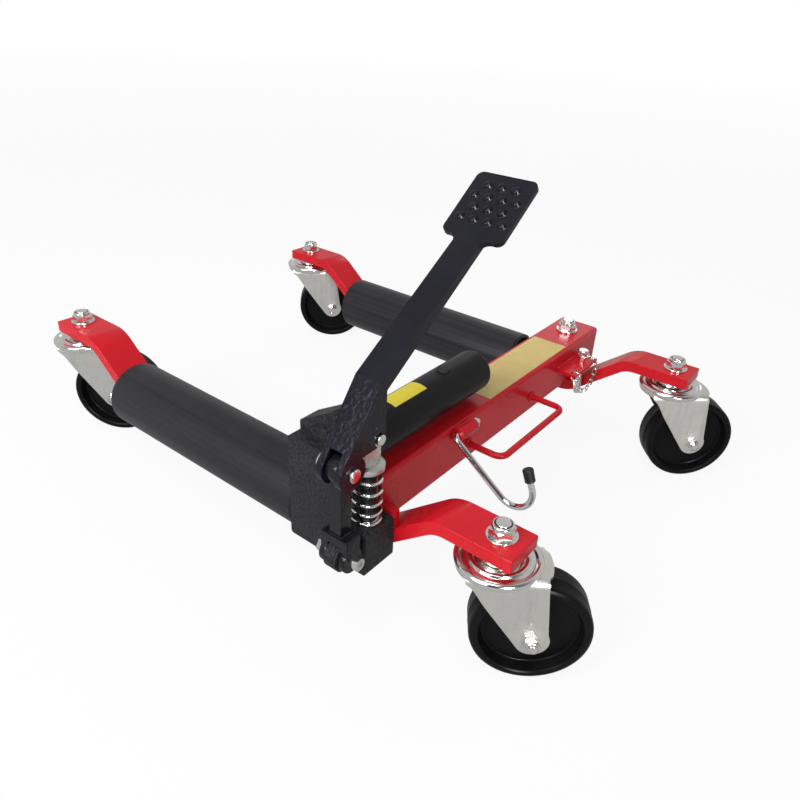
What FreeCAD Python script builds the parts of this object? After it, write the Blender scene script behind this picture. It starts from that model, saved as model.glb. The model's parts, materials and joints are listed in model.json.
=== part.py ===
import FreeCAD, Part

import math
import os
import re

import Sketcher

# Vehicle positioning jack: a low dolly whose two rollers are drawn together under a tyre.
# Frame: X runs along the beam from the pump to the far arm, Y along the rollers,
# Z is up, and the origin is on the floor midway between the four caster kingpins.
# All sizes are millimetres, angles are degrees. Unit a is the pump end, unit b the far end.

# Driving sizes
SIZES = {
    "wheelbase": 375, "track": 571,
    "wheel_dia": 100, "wheel_width": 32, "rim_radius": 42.5, "rim_recess": 10, "hub_radius": 14,
    "rim_slope": 2.5, "rim_edge": 1, "hub_taper": 2,
    "caster_trail": 32, "axle_radius": 4, "axle_half": 29.5, "tread_round": 4,
    "axle_nut_across": 13, "axle_nut_height": 6.5,
    "fork_gap": 38, "fork_sheet": 3, "fork_lead": 27, "fork_tail": 38, "fork_nose": 43, "fork_eye": 14,
    "fork_bend": 2,
    "fork_height": 112, "dish_radius": 33, "dish_rise": 6.5, "dish_edge": 2, "groove_depth": 2.5,
    "dish_ring": 25, "dish_step": 3, "dish_sink": 1.5, "race_radius": 17, "race_edge": 2,
    "arm_top": 136, "arm_thick": 12, "arm_width": 40, "arm_end": 21, "arm_flat": 50,
    "arm_angle": 39, "bend_radius": 26, "root_gap": 5, "root_overlap": 16,
    "bolt_radius": 6, "spacer_radius": 10, "nut_across": 19, "nut_height": 10.5,
    "washer_radius": 12.8, "washer_thick": 2.5, "head_height": 7, "bolt_tip": 0.8, "flange_thick": 3,
    "roller_dia": 70, "roller_wall": 3.5, "roller_length": 280, "roller_inset": 195, "roller_edge": 1,
    "roller_height": 78, "roller_axle_radius": 11, "bush_length": 12, "bush_gap": 4,
    "beam_inset": 136, "beam_size": 50, "beam_wall": 3, "beam_top": 140, "beam_round": 4,
    "beam_overhang": 34, "beam_gap": 5, "slide_length": 310, "slide_wall": 3,
    "barrel_radius": 18, "barrel_bore": 14, "barrel_length": 236, "barrel_floor": 12,
    "gland_length": 22, "gland_flange": 4, "piston_gap": 2, "piston_length": 18,
    "rod_radius": 8, "rod_eye": 14, "rod_eye_height": 22,
    "plate_thick": 7, "plate_top": 142, "plate_lip": 4,
    "block_depth": 35, "block_half": 35, "block_floor": 80, "block_top": 180, "block_round": 3,
    "boss_half": 15, "boss_top": 120, "boss_gap": 1, "arch_radius": 27, "arch_set_back": 7,
    "seat_set_back": 14, "seat_shoulder": 187, "seat_peak": 208,
    "pump_inset": 102, "lug_radius": 13, "lug_thick": 12, "link_stand": 13, "link_foot": 105,
    "link_length": 81, "link_eye": 11, "link_thick": 11.4, "link_bar": 12, "ear_thick": 7,
    "yoke_gap": 2, "yoke_rise": 9, "ear_gap": 0.3, "link_pin": 4, "screw_head": 5.5, "screw_head_length": 7,
    "link_nut_across": 13.5, "link_nut_height": 6, "pin_tail": 8, "pin_cap": 3, "clip_radius": 7,
    "clip_thick": 6.5,
    "plunger_reach": 30, "plunger_lift": 16, "plunger_radius": 8.6, "plunger_tail": 16,
    "pump_bore_depth": 34, "collar_radius": 14, "collar_thick": 6, "collar_height": 52, "collar_edge": 2,
    "plunger_eye": 9, "plunger_pin": 4.5, "pin_overhang": 2, "plunger_gland": 10, "plunger_gland_height": 5,
    "spring_radius": 11.7, "wire_radius": 1.3, "spring_turns": 6,
    "lever_width": 24, "cheek_thick": 6, "lever_heel": 14, "heel_angle": 54, "heel_length": 68,
    "heel_back": 36, "web_thick": 7, "web_start": 12, "lever_angle": 33.5, "lever_length": 141,
    "lever_thick": 6.5, "neck_overlap": 6, "pad_angle": 37, "pad_length": 64, "pad_width": 56,
    "pad_thick": 4.5, "pad_round": 6, "pad_neck": 14, "pad_scallop": 8, "slot_radius": 6,
    "stud_radius": 4.2, "stud_rise": 2.6, "stud_pitch": 13, "stud_row": 11.5, "stud_offset": 2,
    "tank_radius": 20.5, "tank_wall": 3, "tank_height": 167, "tank_length": 185, "tank_round": 4,
    "plug_radius": 6.5, "plug_rise": 2.5, "plug_set": 128, "plug_sink": 1.2, "plug_step": 2, "plug_edge": 1,
    "handle_half": 62.5, "handle_reach": 39, "handle_height": 109, "handle_rod": 3.3, "handle_bend": 10,
    "lug_place": 94, "hook_lug_length": 26, "hook_lug_radius": 6.5, "hook_height": 136.5,
    "hook_rod": 3, "hook_drop": 35.8, "hook_shank": 68, "hook_curl": 19, "hook_tip": 30,
    "hook_turn": 146.5, "hook_neck": 6, "hook_thread": 7.5, "hook_nut_across": 9.5, "hook_nut_height": 5,
    "cap_radius": 5, "cap_length": 12.5, "cap_floor": 3, "cap_edge": 1,
    "pin_back": 26, "pin_out": 11.5, "pin_radius": 4, "pin_foot": 78, "pin_head_radius": 6,
    "pin_head": 4, "pin_neck": 9, "pin_edge": 1.5,
    "bracket_top": 122, "bracket_thick": 4, "bracket_reach": 24,
    "bracket_tail": 43, "bracket_lead": 15,
    "ring_radius": 6.5, "ring_wire": 0.8, "keeper_radius": 5.5, "eyelet_radius": 2.6, "eyelet_set": 5.2,
    "eyelet_edge": 2,
    "link_across": 6, "chain_wire": 1.1, "chain_drop": 39, "chain_out": 5, "chain_slack": 3,
    "valve_radius": 7, "valve_inset": 12, "valve_length": 14, "valve_stem": 4,
    "valve_height": 112, "valve_edge": 1,
    "running_fit": 0.08, "seat_gap": 0.3,
}

# Directions in which the four casters trail, turned from the X axis
CASTER_TURN = {"a_front": -54.7, "a_rear": -54.5, "b_front": -49.0, "b_rear": -46.9}

# Sizes and places that follow from the driving ones
PLACES = {
    "near_y": "-track / 2",
    "far_y": "track / 2",
    "a_x": "-wheelbase / 2",
    "b_x": "wheelbase / 2",
    "beam_y": "near_y + beam_inset",
    "beam_side": "beam_y - beam_size / 2",
    "beam_mid": "beam_top - beam_size / 2",
    "beam_floor": "beam_top - beam_size",
    "arm_floor": "arm_top - arm_thick",
    "root_top": "roller_height + arm_thick / 2",
    "root_floor": "roller_height - arm_thick / 2",
    "arm_reach": "arm_flat + (arm_top - root_top) / tan(arm_angle * 1deg)",
    "bend_shift": "arm_thick / 2 * tan(arm_angle * 0.5deg)",
    "front_root": "roller_inset - root_gap",
    "rear_root": "arm_reach + root_overlap",
    "roller_start": "near_y + roller_inset",
    "roller_inner": "roller_dia / 2 - roller_wall",
    "axle_start": "near_y + front_root",
    "axle_length": "track - front_root - rear_root",
    "axle_height": "wheel_dia / 2",
    "dish_top": "fork_height + dish_rise",
    "bolt_head_top": "fork_height - fork_sheet - seat_gap",
    "block_back": "a_x - arm_width / 2",
    "block_front": "block_back - block_depth",
    "plate_back": "block_back + plate_thick",
    "beam_start": "plate_back + beam_gap",
    "beam_end": "b_x + beam_overhang",
    "slide_size": "beam_size - 2 * beam_wall - 2 * seat_gap",
    "pump_y": "near_y + pump_inset",
    "main_side": "pump_y + boss_half + boss_gap",
    "main_far": "beam_y + block_half",
    "boss_side": "pump_y - boss_half",
    "seat_side": "seat_peak - (seat_peak - seat_shoulder) * (beam_y - main_side) / block_half",
    "valve_x": "block_back - valve_inset",
    "link_x": "block_front - link_stand",
    "lever_z": "link_foot + link_length",
    "plunger_x": "link_x + plunger_reach",
    "plunger_z": "lever_z + plunger_lift",
    "ear_inner": "lug_thick / 2 + ear_gap",
    "ear_outer": "lug_thick / 2 + ear_gap + ear_thick",
    "collar_floor": "boss_top + collar_height",
    "spring_length": "collar_height - 2 * seat_gap - 2 * wire_radius",
    "heel_x": "-lever_heel * sin(heel_angle * 1deg)",
    "heel_z": "lever_heel * cos(heel_angle * 1deg)",
    "kink_x": "heel_x + heel_length * cos(heel_angle * 1deg)",
    "kink_z": "heel_z + heel_length * sin(heel_angle * 1deg)",
    "neck_x": "kink_x + lever_length * cos(lever_angle * 1deg)",
    "neck_z": "kink_z + lever_length * sin(lever_angle * 1deg)",
    "piston_x": "plate_back + barrel_floor + piston_gap",
    "rod_length": "b_x - rod_eye * 0.7 - piston_x - piston_length",
    "hook_y": "beam_side - hook_lug_radius",
    "hook_x": "a_x + lug_place",
    "pin_x": "b_x - pin_back",
    "pin_y": "beam_side - pin_out",
    "pin_head_z": "bracket_top + pin_neck",
    "eyelet_x": "pin_x - bracket_tail + eyelet_radius + eyelet_edge",
    "ring_y": "pin_y - ring_radius + ring_wire + pin_radius + seat_gap",
    "ring_z": "pin_head_z - ring_wire - pin_edge",
    "keeper_y": "beam_side - bracket_reach + (eyelet_set - eyelet_radius) / 2",
    "keeper_z": "bracket_top - keeper_radius + ring_wire + 2 * seat_gap",
    "tank_x": "block_back",
    "plug_x": "tank_x + plug_set",
}

doc = FreeCAD.newDocument("PositioningJack")
sizes = doc.addObject("Spreadsheet::Sheet", "Sizes")
places = doc.addObject("Spreadsheet::Sheet", "Places")
WORD = re.compile(r"[A-Za-z_]\w*")
ALONG = {
    "Z": FreeCAD.Rotation(),
    "X": FreeCAD.Rotation(FreeCAD.Vector(0, 1, 0), 90),
    "Y": FreeCAD.Rotation(FreeCAD.Vector(1, 0, 0), -90),
}
ORIGIN = ("0", "0", "0")
nodes = []


def named(text):
    """Point each size or place in a formula at its sheet."""
    def sheet_name(match):
        word = match.group(0)
        if word in SIZES:
            return "Sizes." + word
        return "Places." + word if word in PLACES else word
    return WORD.sub(sheet_name, str(text))


def fill_sheets():
    for row, (alias, value) in enumerate(SIZES.items(), 1):
        sizes.set("A%d" % row, alias)
        sizes.set("B%d" % row, str(value))
        sizes.setAlias("B%d" % row, alias)
    doc.recompute()
    for row, (alias, formula) in enumerate(PLACES.items(), 1):
        places.set("A%d" % row, alias)
        places.setAlias("B%d" % row, alias)
        places.set("B%d" % row, "=" + named(formula).replace("Places.", ""))
    doc.recompute()


def size(word):
    """The number that a size or place has now."""
    sheet = sizes if word in SIZES else places
    return float(getattr(sheet, word))


def bind(item, prop, text):
    item.setExpression(prop, named(text))


def put(item, at, turn=None):
    """Place an object: bound coordinates and a fixed turn."""
    item.Placement = FreeCAD.Placement(FreeCAD.Vector(), turn or FreeCAD.Rotation())
    for axis, text in zip("xyz", at):
        bind(item, "Placement.Base." + axis, text)
    return item


def cylinder(name, radius, length, at=ORIGIN, along="Z"):
    item = doc.addObject("Part::Cylinder", name)
    bind(item, "Radius", radius)
    bind(item, "Height", length)
    return put(item, at, ALONG[along])


def hexagon(name, across, length, at=ORIGIN, along="Z"):
    item = doc.addObject("Part::Prism", name)
    item.Polygon = 6
    bind(item, "Circumradius", "(%s) / 2 / cos(30deg)" % across)
    bind(item, "Height", length)
    return put(item, at, ALONG[along])


def ring(name, radius, wire, at, turn):
    item = doc.addObject("Part::Torus", name)
    bind(item, "Radius1", radius)
    bind(item, "Radius2", wire)
    return put(item, at, turn)


def box(name, lengths, at):
    item = doc.addObject("Part::Box", name)
    for prop, text in zip(("Length", "Width", "Height"), lengths):
        bind(item, prop, text)
    return put(item, at)


def joined(name, items):
    fuse = doc.addObject("Part::MultiFuse", name)
    fuse.Shapes = items
    fuse.Refine = True
    return fuse


def cut(name, base, tools):
    item = doc.addObject("Part::Cut", name)
    item.Base = base
    item.Tool = tools[0] if len(tools) == 1 else joined(name + "Tools", tools)
    item.Refine = True
    return item


def common(name, base, tool):
    item = doc.addObject("Part::Common", name)
    item.Base = base
    item.Tool = tool
    return item


def group(name, items):
    """Separate solids of one kind in one sub-part."""
    item = doc.addObject("Part::Compound", name)
    item.Links = items
    return item


def part(label, item):
    """Give a finished sub-part its name."""
    item.Label = label
    nodes.append(item)
    return item


def outline_sketch(body, plane, outline):
    """A closed outline of straight lines, each corner held by two bound distances."""
    sketch = body.newObject("Sketcher::SketchObject", body.Name + "Sketch")
    base = [item for item in body.Origin.OriginFeatures if item.Role == plane][0]
    sketch.AttachmentSupport = (base, [""])
    sketch.MapMode = "FlatFace"
    count = len(outline)
    spread = 50
    turns = [2 * math.pi * i / count for i in range(count)]
    start = [FreeCAD.Vector(spread * math.cos(turn), spread * math.sin(turn), 0) for turn in turns]
    for i in range(count):
        sketch.addGeometry(Part.LineSegment(start[i], start[(i + 1) % count]))
    for i in range(count):
        sketch.addConstraint(Sketcher.Constraint("Coincident", i, 2, (i + 1) % count, 1))
    for i, corner in enumerate(outline):
        for kind, value, text in zip(("DistanceX", "DistanceY"), start[i], corner):
            number = sketch.addConstraint(Sketcher.Constraint(kind, -1, 1, i, 1, value))
            bind(sketch, "Constraints[%d]" % number, text)
    return sketch


def edges_at(shape, points, axis):
    """Names of the straight edges along an axis that pass through the given points."""
    found = []
    for number, edge in enumerate(shape.Edges, 1):
        ends = [vertex.Point for vertex in edge.Vertexes]
        if len(ends) != 2:
            continue
        run = ends[1].sub(ends[0])
        if run.cross(axis).Length > 1e-6 * max(run.Length, 1):
            continue
        near = [point for point in points if ends[0].distanceToLine(point, axis) < 1e-4]
        if near:
            found.append("Edge%d" % number)
    return found


def rounded(body, base, sketch, corners, radius):
    """Round the long edges that stand on some corners of the outline."""
    doc.recompute()
    spots = [sketch.Placement.multVec(sketch.Geometry[i].StartPoint) for i in corners]
    axis = sketch.Placement.Rotation.multVec(FreeCAD.Vector(0, 0, 1))
    fillet = body.newObject("PartDesign::Fillet", body.Name + "Round")
    fillet.Base = (base, edges_at(base.Shape, spots, axis))
    bind(fillet, "Radius", radius)
    return fillet


def prism(name, plane, outline, length, at=ORIGIN, turn=None, rounds=(), midplane=False):
    """A padded outline; rounds lists (corners, radius) pairs for its long edges."""
    body = doc.addObject("PartDesign::Body", name)
    sketch = outline_sketch(body, plane, outline)
    pad = body.newObject("PartDesign::Pad", name + "Pad")
    pad.Profile = sketch
    pad.Midplane = midplane
    bind(pad, "Length", length)
    last = pad
    for corners, radius in rounds:
        last = rounded(body, last, sketch, corners, radius)
    return put(body, at, turn)


def turned(name, outline, at=ORIGIN, along="Z", turn=None):
    """A half section (radius, height) turned about its own axis."""
    body = doc.addObject("PartDesign::Body", name)
    sketch = outline_sketch(body, "XZ_Plane", outline)
    lathe = body.newObject("PartDesign::Revolution", name + "Turn")
    lathe.Profile = sketch
    lathe.ReferenceAxis = (sketch, ["V_Axis"])
    lathe.Angle = 360
    return put(body, at, turn or ALONG[along])


def bent_rod(name, points, bends, radius):
    """A round rod along straight runs joined by tangent arcs, one bend radius per inner point."""
    edges = []
    start = points[0]
    for i, bend in enumerate(bends, 1):
        before = (points[i] - points[i - 1]).normalize()
        after = (points[i + 1] - points[i]).normalize()
        half = before.getAngle(after) / 2
        reach = bend * math.tan(half)
        first = points[i] - before * reach
        last = points[i] + after * reach
        to_centre = (after - before).normalize()
        middle = points[i] + to_centre * (bend / math.cos(half) - bend)
        edges.append(Part.LineSegment(start, first).toShape())
        edges.append(Part.Arc(first, middle, last).toShape())
        start = last
    edges.append(Part.LineSegment(start, points[-1]).toShape())
    path = Part.Wire(edges)
    section = Part.Wire(Part.Circle(points[0], points[1] - points[0], radius).toShape())
    item = doc.addObject("Part::Feature", name)
    item.Shape = path.makePipeShell([section], True, False)
    return item


def biarc(start, start_way, end, end_way):
    """Two tangent arcs from one point and direction to another."""
    span = end - start
    ways = start_way + end_way
    bend = 2 * (1 - start_way.dot(end_way))
    along = span.dot(ways)
    reach = (math.sqrt(along * along + bend * span.dot(span)) - along) / bend
    joint = (start + end + (start_way - end_way) * reach) * 0.5
    arcs = []
    for first, way, last in ((start, start_way, joint), (end, end_way * -1, joint)):
        chord = last - first
        across = chord * (1 / chord.Length)
        side = (way - across * way.dot(across)).normalize()
        rise = chord.Length / 2 * math.tan(way.getAngle(chord) / 2)
        middle = first + chord * 0.5 + side * rise
        arcs.append((first, middle, last) if first == start else (last, middle, first))
    return [Part.Arc(*points).toShape() for points in arcs]


def helix_point(angle, radius, pitch):
    rise = pitch * angle / (2 * math.pi)
    return FreeCAD.Vector(radius * math.cos(angle), radius * math.sin(angle), rise)


def helix_way(angle, radius, pitch):
    way = FreeCAD.Vector(-radius * math.sin(angle), radius * math.cos(angle), pitch / (2 * math.pi))
    return way.normalize()


fill_sheets()

# Arms: flat bars bent down from the casters to the roller axles
CORNERS = {
    "a_front": ("a_x", "near_y", 0), "a_rear": ("a_x", "far_y", 180),
    "b_front": ("b_x", "near_y", 0), "b_rear": ("b_x", "far_y", 180),
}


def arm_outline(root):
    return [
        ("-arm_end", "arm_top"),
        ("arm_flat + bend_shift", "arm_top"),
        ("arm_reach + bend_shift", "root_top"),
        (root, "root_top"),
        (root, "root_floor"),
        ("arm_reach - bend_shift", "root_floor"),
        ("arm_flat - bend_shift", "arm_floor"),
        ("-arm_end", "arm_floor"),
    ]


def arm(corner, root):
    x, y, turn = CORNERS[corner]
    spin = FreeCAD.Rotation(FreeCAD.Vector(0, 0, 1), turn)
    bends = [([1, 5], "bend_radius + arm_thick"), ([2, 6], "bend_radius")]
    bar = prism("Bar_" + corner, "YZ_Plane", arm_outline(root), "arm_width", rounds=bends, midplane=True)
    put(bar, (x, y, "0"), spin)
    holes = [cylinder("ArmHole_" + corner, "bolt_radius + running_fit", "2 * arm_thick",
                      (x, y, "arm_floor - arm_thick / 2"))]
    if corner == "b_front":
        holes.append(cylinder("PivotHole", "bolt_radius + running_fit", "2 * arm_thick",
                              ("b_x", "beam_y", "root_floor - arm_thick / 2")))
    return part("arm_" + corner, cut("Arm_" + corner, bar, holes))


for corner in CORNERS:
    arm(corner, "front_root" if corner.endswith("front") else "rear_root")

# Rollers: plain tubes that turn on bushes round a fixed axle
for unit in "ab":
    x = unit + "_x"
    middle = (x, "roller_start", "roller_height")
    part("roller_axle_" + unit, cylinder("RollerAxle_" + unit, "roller_axle_radius", "axle_length",
                                         (x, "axle_start", "roller_height"), "Y"))
    tube = turned("Roller_" + unit, [
        ("roller_inner", "0"), ("roller_dia / 2 - roller_edge", "0"), ("roller_dia / 2", "roller_edge"),
        ("roller_dia / 2", "roller_length - roller_edge"),
        ("roller_dia / 2 - roller_edge", "roller_length"),
        ("roller_inner", "roller_length"),
    ], middle, "Y")
    part("roller_" + unit, tube)
    bushes = []
    for name, start in (("Near", "roller_start + bush_length"),
                        ("Far", "far_y - rear_root - bush_gap - bush_length")):
        bushes.append(turned("Bush%s_%s" % (name, unit), [
            ("roller_axle_radius + running_fit", "0"), ("roller_inner", "0"),
            ("roller_inner", "bush_length"), ("roller_axle_radius + running_fit", "bush_length"),
        ], (x, start, "roller_height"), "Y"))
    part("roller_bushes_" + unit, group("RollerBushes_" + unit, bushes))

# Caster kingpins: bolt, washer, lock nut and the fixed upper race
race_floor = "dish_top - dish_sink + seat_gap"
for unit in "ab":
    bolts = []
    nuts = []
    races = []
    for corner in (unit + "_front", unit + "_rear"):
        x, y, turn = CORNERS[corner]
        shank = cylinder("Kingpin_" + corner, "bolt_radius",
                         "arm_top - bolt_head_top + washer_thick + nut_height + bolt_tip",
                         (x, y, "bolt_head_top"))
        flange = cylinder("KingpinFlange_" + corner, "race_radius - 2 * race_edge", "flange_thick",
                          (x, y, "bolt_head_top - flange_thick"))
        head = hexagon("KingpinHead_" + corner, "nut_across", "head_height",
                       (x, y, "bolt_head_top - flange_thick - head_height"))
        bolts.append(joined("KingpinBolt_" + corner, [shank, flange, head]))
        for thing, shape in (("Washer", "washer_thick"), ("Nut", "nut_height")):
            base = "arm_top" if thing == "Washer" else "arm_top + washer_thick"
            if thing == "Washer":
                blank = cylinder("WasherBlank_" + corner, "washer_radius", shape, (x, y, base))
            else:
                blank = hexagon("NutBlank_" + corner, "nut_across", shape, (x, y, base))
            bore = cylinder(thing + "Bore_" + corner, "bolt_radius + running_fit", shape, (x, y, base))
            nuts.append(cut(thing + "_" + corner, blank, [bore]))
        races.append(turned("Race_" + corner, [
            ("bolt_radius + running_fit", race_floor),
            ("race_radius - race_edge", race_floor),
            ("race_radius", race_floor + " + race_edge"),
            ("race_radius", "arm_floor"), ("bolt_radius + running_fit", "arm_floor"),
        ], (x, y, "0")))
    part("kingpin_bolts_" + unit, group("KingpinBolts_" + unit, bolts))
    part("kingpin_nuts_" + unit, group("KingpinNuts_" + unit, nuts))
    part("swivel_races_" + unit, group("SwivelRaces_" + unit, races))


def fork(corner):
    """Pressed caster fork: a folded channel cut to two tapered legs, with a round raceway dish."""
    x, y, _ = CORNERS[corner]
    spin = FreeCAD.Rotation(FreeCAD.Vector(0, 0, 1), CASTER_TURN[corner])
    inner = "fork_gap / 2"
    outer = "fork_gap / 2 + fork_sheet"
    channel = prism("Channel_" + corner, "YZ_Plane", [
        ("-(%s)" % outer, "0"), ("-(%s)" % outer, "fork_height"), (outer, "fork_height"), (outer, "0"),
        (inner, "0"), (inner, "fork_height - fork_sheet"), ("-" + inner, "fork_height - fork_sheet"),
        ("-" + inner, "0"),
    ], "fork_lead + caster_trail + fork_eye", ("-fork_lead", "0", "0"),
        rounds=[([1, 2], "fork_bend + fork_sheet"), ([5, 6], "fork_bend")])
    side = prism("Side_" + corner, "XZ_Plane", [
        ("-fork_lead", "fork_height"), ("fork_tail", "fork_height"),
        ("fork_tail", "fork_height - 2 * fork_sheet"),
        ("caster_trail + fork_eye * 0.866", "axle_height + fork_eye * 0.5"),
        ("caster_trail - fork_eye * 0.82", "axle_height - fork_eye * 0.57"),
        ("-fork_lead * 0.6", "fork_height - fork_lead * 0.67"),
        ("-fork_lead", "fork_height - 2 * fork_sheet"),
    ], "4 * axle_half", midplane=True)
    eye = cylinder("Eye_" + corner, "fork_eye", "4 * axle_half",
                   ("caster_trail", "-2 * axle_half", "axle_height"), "Y")
    legs = common("Legs_" + corner, channel, joined("Profile_" + corner, [side, eye]))
    nose = common("Nose_" + corner,
                  cylinder("NoseRound_" + corner, "fork_nose", "fork_sheet",
                           ("0", "0", "fork_height - fork_sheet")),
                  box("NoseRoom_" + corner, ("2 * fork_nose", "fork_gap", "fork_sheet"),
                      ("0", "-fork_gap / 2", "fork_height - fork_sheet")))
    dish = turned("Dish_" + corner, [
        ("0", "fork_height - fork_sheet"), ("dish_radius - fork_sheet", "fork_height - fork_sheet"),
        ("dish_radius", "fork_height"), ("dish_radius", "dish_top - dish_edge"),
        ("dish_radius - dish_edge", "dish_top"), ("dish_radius - 1.5 * dish_edge", "dish_top"),
        ("dish_radius - 2.25 * dish_edge", "dish_top - groove_depth"),
        ("dish_ring + dish_edge / 2", "dish_top - groove_depth"),
        ("dish_ring", "dish_top"), ("dish_ring - dish_step", "dish_top"),
        ("dish_ring - dish_step - dish_sink", "dish_top - dish_sink"), ("0", "dish_top - dish_sink"),
    ])
    holes = [cylinder("SwivelHole_" + corner, "bolt_radius + running_fit", "2 * fork_height"),
             cylinder("AxleHole_" + corner, "axle_radius + running_fit", "4 * axle_half",
                      ("caster_trail", "-2 * axle_half", "axle_height"), "Y")]
    whole = cut("Fork_" + corner, joined("ForkBlank_" + corner, [legs, nose, dish]), holes)
    part("fork_" + corner, put(whole, (x, y, "0"), spin))


def caster_axle(corner):
    """Wheel axle: a bolt across the fork with its nut."""
    x, y, _ = CORNERS[corner]
    spin = FreeCAD.Rotation(FreeCAD.Vector(0, 0, 1), CASTER_TURN[corner])
    outer = "fork_gap / 2 + fork_sheet"
    shank = cylinder("AxleShank_" + corner, "axle_radius", "axle_half + " + outer,
                     ("caster_trail", "-axle_half", "axle_height"), "Y")
    head = hexagon("AxleHead_" + corner, "axle_nut_across", "axle_nut_height",
                   ("caster_trail", outer, "axle_height"), "Y")
    bolt = joined("AxleBolt_" + corner, [shank, head])
    blank = hexagon("AxleNutBlank_" + corner, "axle_nut_across", "axle_nut_height",
                    ("caster_trail", "-(%s) - axle_nut_height" % outer, "axle_height"), "Y")
    bore = cylinder("AxleNutBore_" + corner, "axle_radius + running_fit", "axle_nut_height",
                    ("caster_trail", "-(%s) - axle_nut_height" % outer, "axle_height"), "Y")
    both = group("CasterAxle_" + corner, [bolt, cut("AxleNut_" + corner, blank, [bore])])
    part("caster_axle_" + corner, put(both, (x, y, "0"), spin))


def wheel(corner):
    """Moulded wheel: rounded tread, deep dished faces and a wide hub."""
    x, y, _ = CORNERS[corner]
    angle = math.radians(CASTER_TURN[corner])
    spin = FreeCAD.Rotation(FreeCAD.Vector(0, 0, 1), CASTER_TURN[corner])
    section = [
        ("axle_radius + running_fit", "-fork_gap / 2 + seat_gap"),
        ("hub_radius - hub_taper", "-fork_gap / 2 + seat_gap"),
        ("hub_radius", "-wheel_width / 2 + rim_recess"),
        ("rim_radius - rim_slope", "-wheel_width / 2 + rim_recess"),
        ("rim_radius", "-wheel_width / 2 + rim_edge"), ("rim_radius + rim_edge", "-wheel_width / 2"),
        ("wheel_dia / 2 - tread_round", "-wheel_width / 2"),
        ("wheel_dia / 2 - tread_round * 0.3", "-wheel_width / 2 + tread_round * 0.3"),
        ("wheel_dia / 2", "-wheel_width / 2 + tread_round"),
    ]
    mirrored = [(radius, "-(%s)" % height) for radius, height in reversed(section)]
    x_text = "%s + caster_trail * %.6f" % (x, math.cos(angle))
    y_text = "%s + caster_trail * %.6f" % (y, math.sin(angle))
    body = turned("Wheel_" + corner, section + mirrored, (x_text, y_text, "axle_height"),
                  turn=spin.multiply(ALONG["Y"]))
    part("wheel_" + corner, body)


for corner in CORNERS:
    fork(corner)
    caster_axle(corner)
    wheel(corner)

# Beam: a square tube that slides over the pump unit's inner tube
beam_length = "beam_end - beam_start"


def square_tube(name, start, length, outer, wall, corner_round):
    half = "(%s) / 2" % outer
    outline = [("-" + half, "-" + half), (half, "-" + half), (half, half), ("-" + half, half)]
    blank = prism(name + "Blank", "YZ_Plane", outline, length, (start, "beam_y", "beam_mid"),
                  rounds=[([0, 1, 2, 3], corner_round)])
    inner = "%s - 2 * (%s)" % (outer, wall)
    bore = box(name + "Bore", (length, inner, inner),
               (start, "beam_y - (%s) / 2" % inner, "beam_mid - (%s) / 2" % inner))
    return blank, bore


tube, bore = square_tube("Beam", "beam_start", beam_length, "beam_size", "beam_wall", "beam_round")
pivot_hole = cylinder("BeamHole", "bolt_radius + running_fit", "2 * beam_size",
                      ("b_x", "beam_y", "beam_floor - beam_size / 2"))
part("beam_tube", cut("BeamTube", tube, [bore, pivot_hole]))
tube, bore = square_tube("Slide", "plate_back", "slide_length", "slide_size", "slide_wall", "beam_round - 1")
part("slide_tube", cut("SlideTube", tube, [bore]))

# Hydraulic cylinder inside the inner tube: it pulls the beam towards the pump
part("cylinder_barrel", turned("Barrel", [
    ("0", "0"), ("barrel_radius", "0"), ("barrel_radius", "barrel_length"),
    ("barrel_bore", "barrel_length"), ("barrel_bore", "barrel_floor"), ("0", "barrel_floor"),
], ("plate_back", "beam_y", "beam_mid"), "X"))
part("cylinder_gland", turned("Gland", [
    ("rod_radius + running_fit", "0"), ("barrel_bore - running_fit", "0"),
    ("barrel_bore - running_fit", "gland_length"), ("barrel_radius", "gland_length"),
    ("barrel_radius", "gland_length + gland_flange"),
    ("rod_radius + running_fit", "gland_length + gland_flange"),
], ("plate_back + barrel_length - gland_length", "beam_y", "beam_mid"), "X"))
part("piston", cylinder("Piston", "barrel_bore - running_fit", "piston_length",
                        ("piston_x", "beam_y", "beam_mid"), "X"))
rod = cylinder("RodShank", "rod_radius", "rod_length",
               ("piston_x + piston_length", "beam_y", "beam_mid"), "X")
eye = cylinder("RodEye", "rod_eye", "rod_eye_height", ("b_x", "beam_y", "beam_mid - rod_eye_height / 2"))
eye_hole = cylinder("RodEyeHole", "bolt_radius + running_fit", "2 * rod_eye_height",
                    ("b_x", "beam_y", "beam_mid - rod_eye_height"))
part("piston_rod", cut("PistonRod", joined("RodBlank", [rod, eye]), [eye_hole]))

# Pivot bolt that clamps the far arm under the beam's end
pivot_floor = "root_floor - head_height"
shank = cylinder("PivotShank", "bolt_radius",
                 "beam_top + washer_thick + nut_height + bolt_tip - root_floor",
                 ("b_x", "beam_y", "root_floor"))
head = hexagon("PivotHead", "nut_across", "head_height", ("b_x", "beam_y", pivot_floor))
part("pivot_bolt", joined("PivotBolt", [shank, head]))
pivot_rings = []
for name, base, height in (("Washer", "beam_top", "washer_thick"),
                           ("Nut", "beam_top + washer_thick", "nut_height")):
    spot = ("b_x", "beam_y", base)
    if name == "Washer":
        blank = cylinder("PivotWasherBlank", "washer_radius", height, spot)
    else:
        blank = hexagon("PivotNutBlank", "nut_across", height, spot)
    bore = cylinder("Pivot%sBore" % name, "bolt_radius + running_fit", height, spot)
    pivot_rings.append(cut("Pivot" + name, blank, [bore]))
part("pivot_nut", group("PivotNutSet", pivot_rings))
spot = ("b_x", "beam_y", "root_top")
blank = cylinder("SpacerBlank", "spacer_radius", "beam_floor - root_top", spot)
bore = cylinder("SpacerBore", "bolt_radius + running_fit", "beam_floor - root_top", spot)
part("pivot_spacer", cut("PivotSpacer", blank, [bore]))

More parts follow.
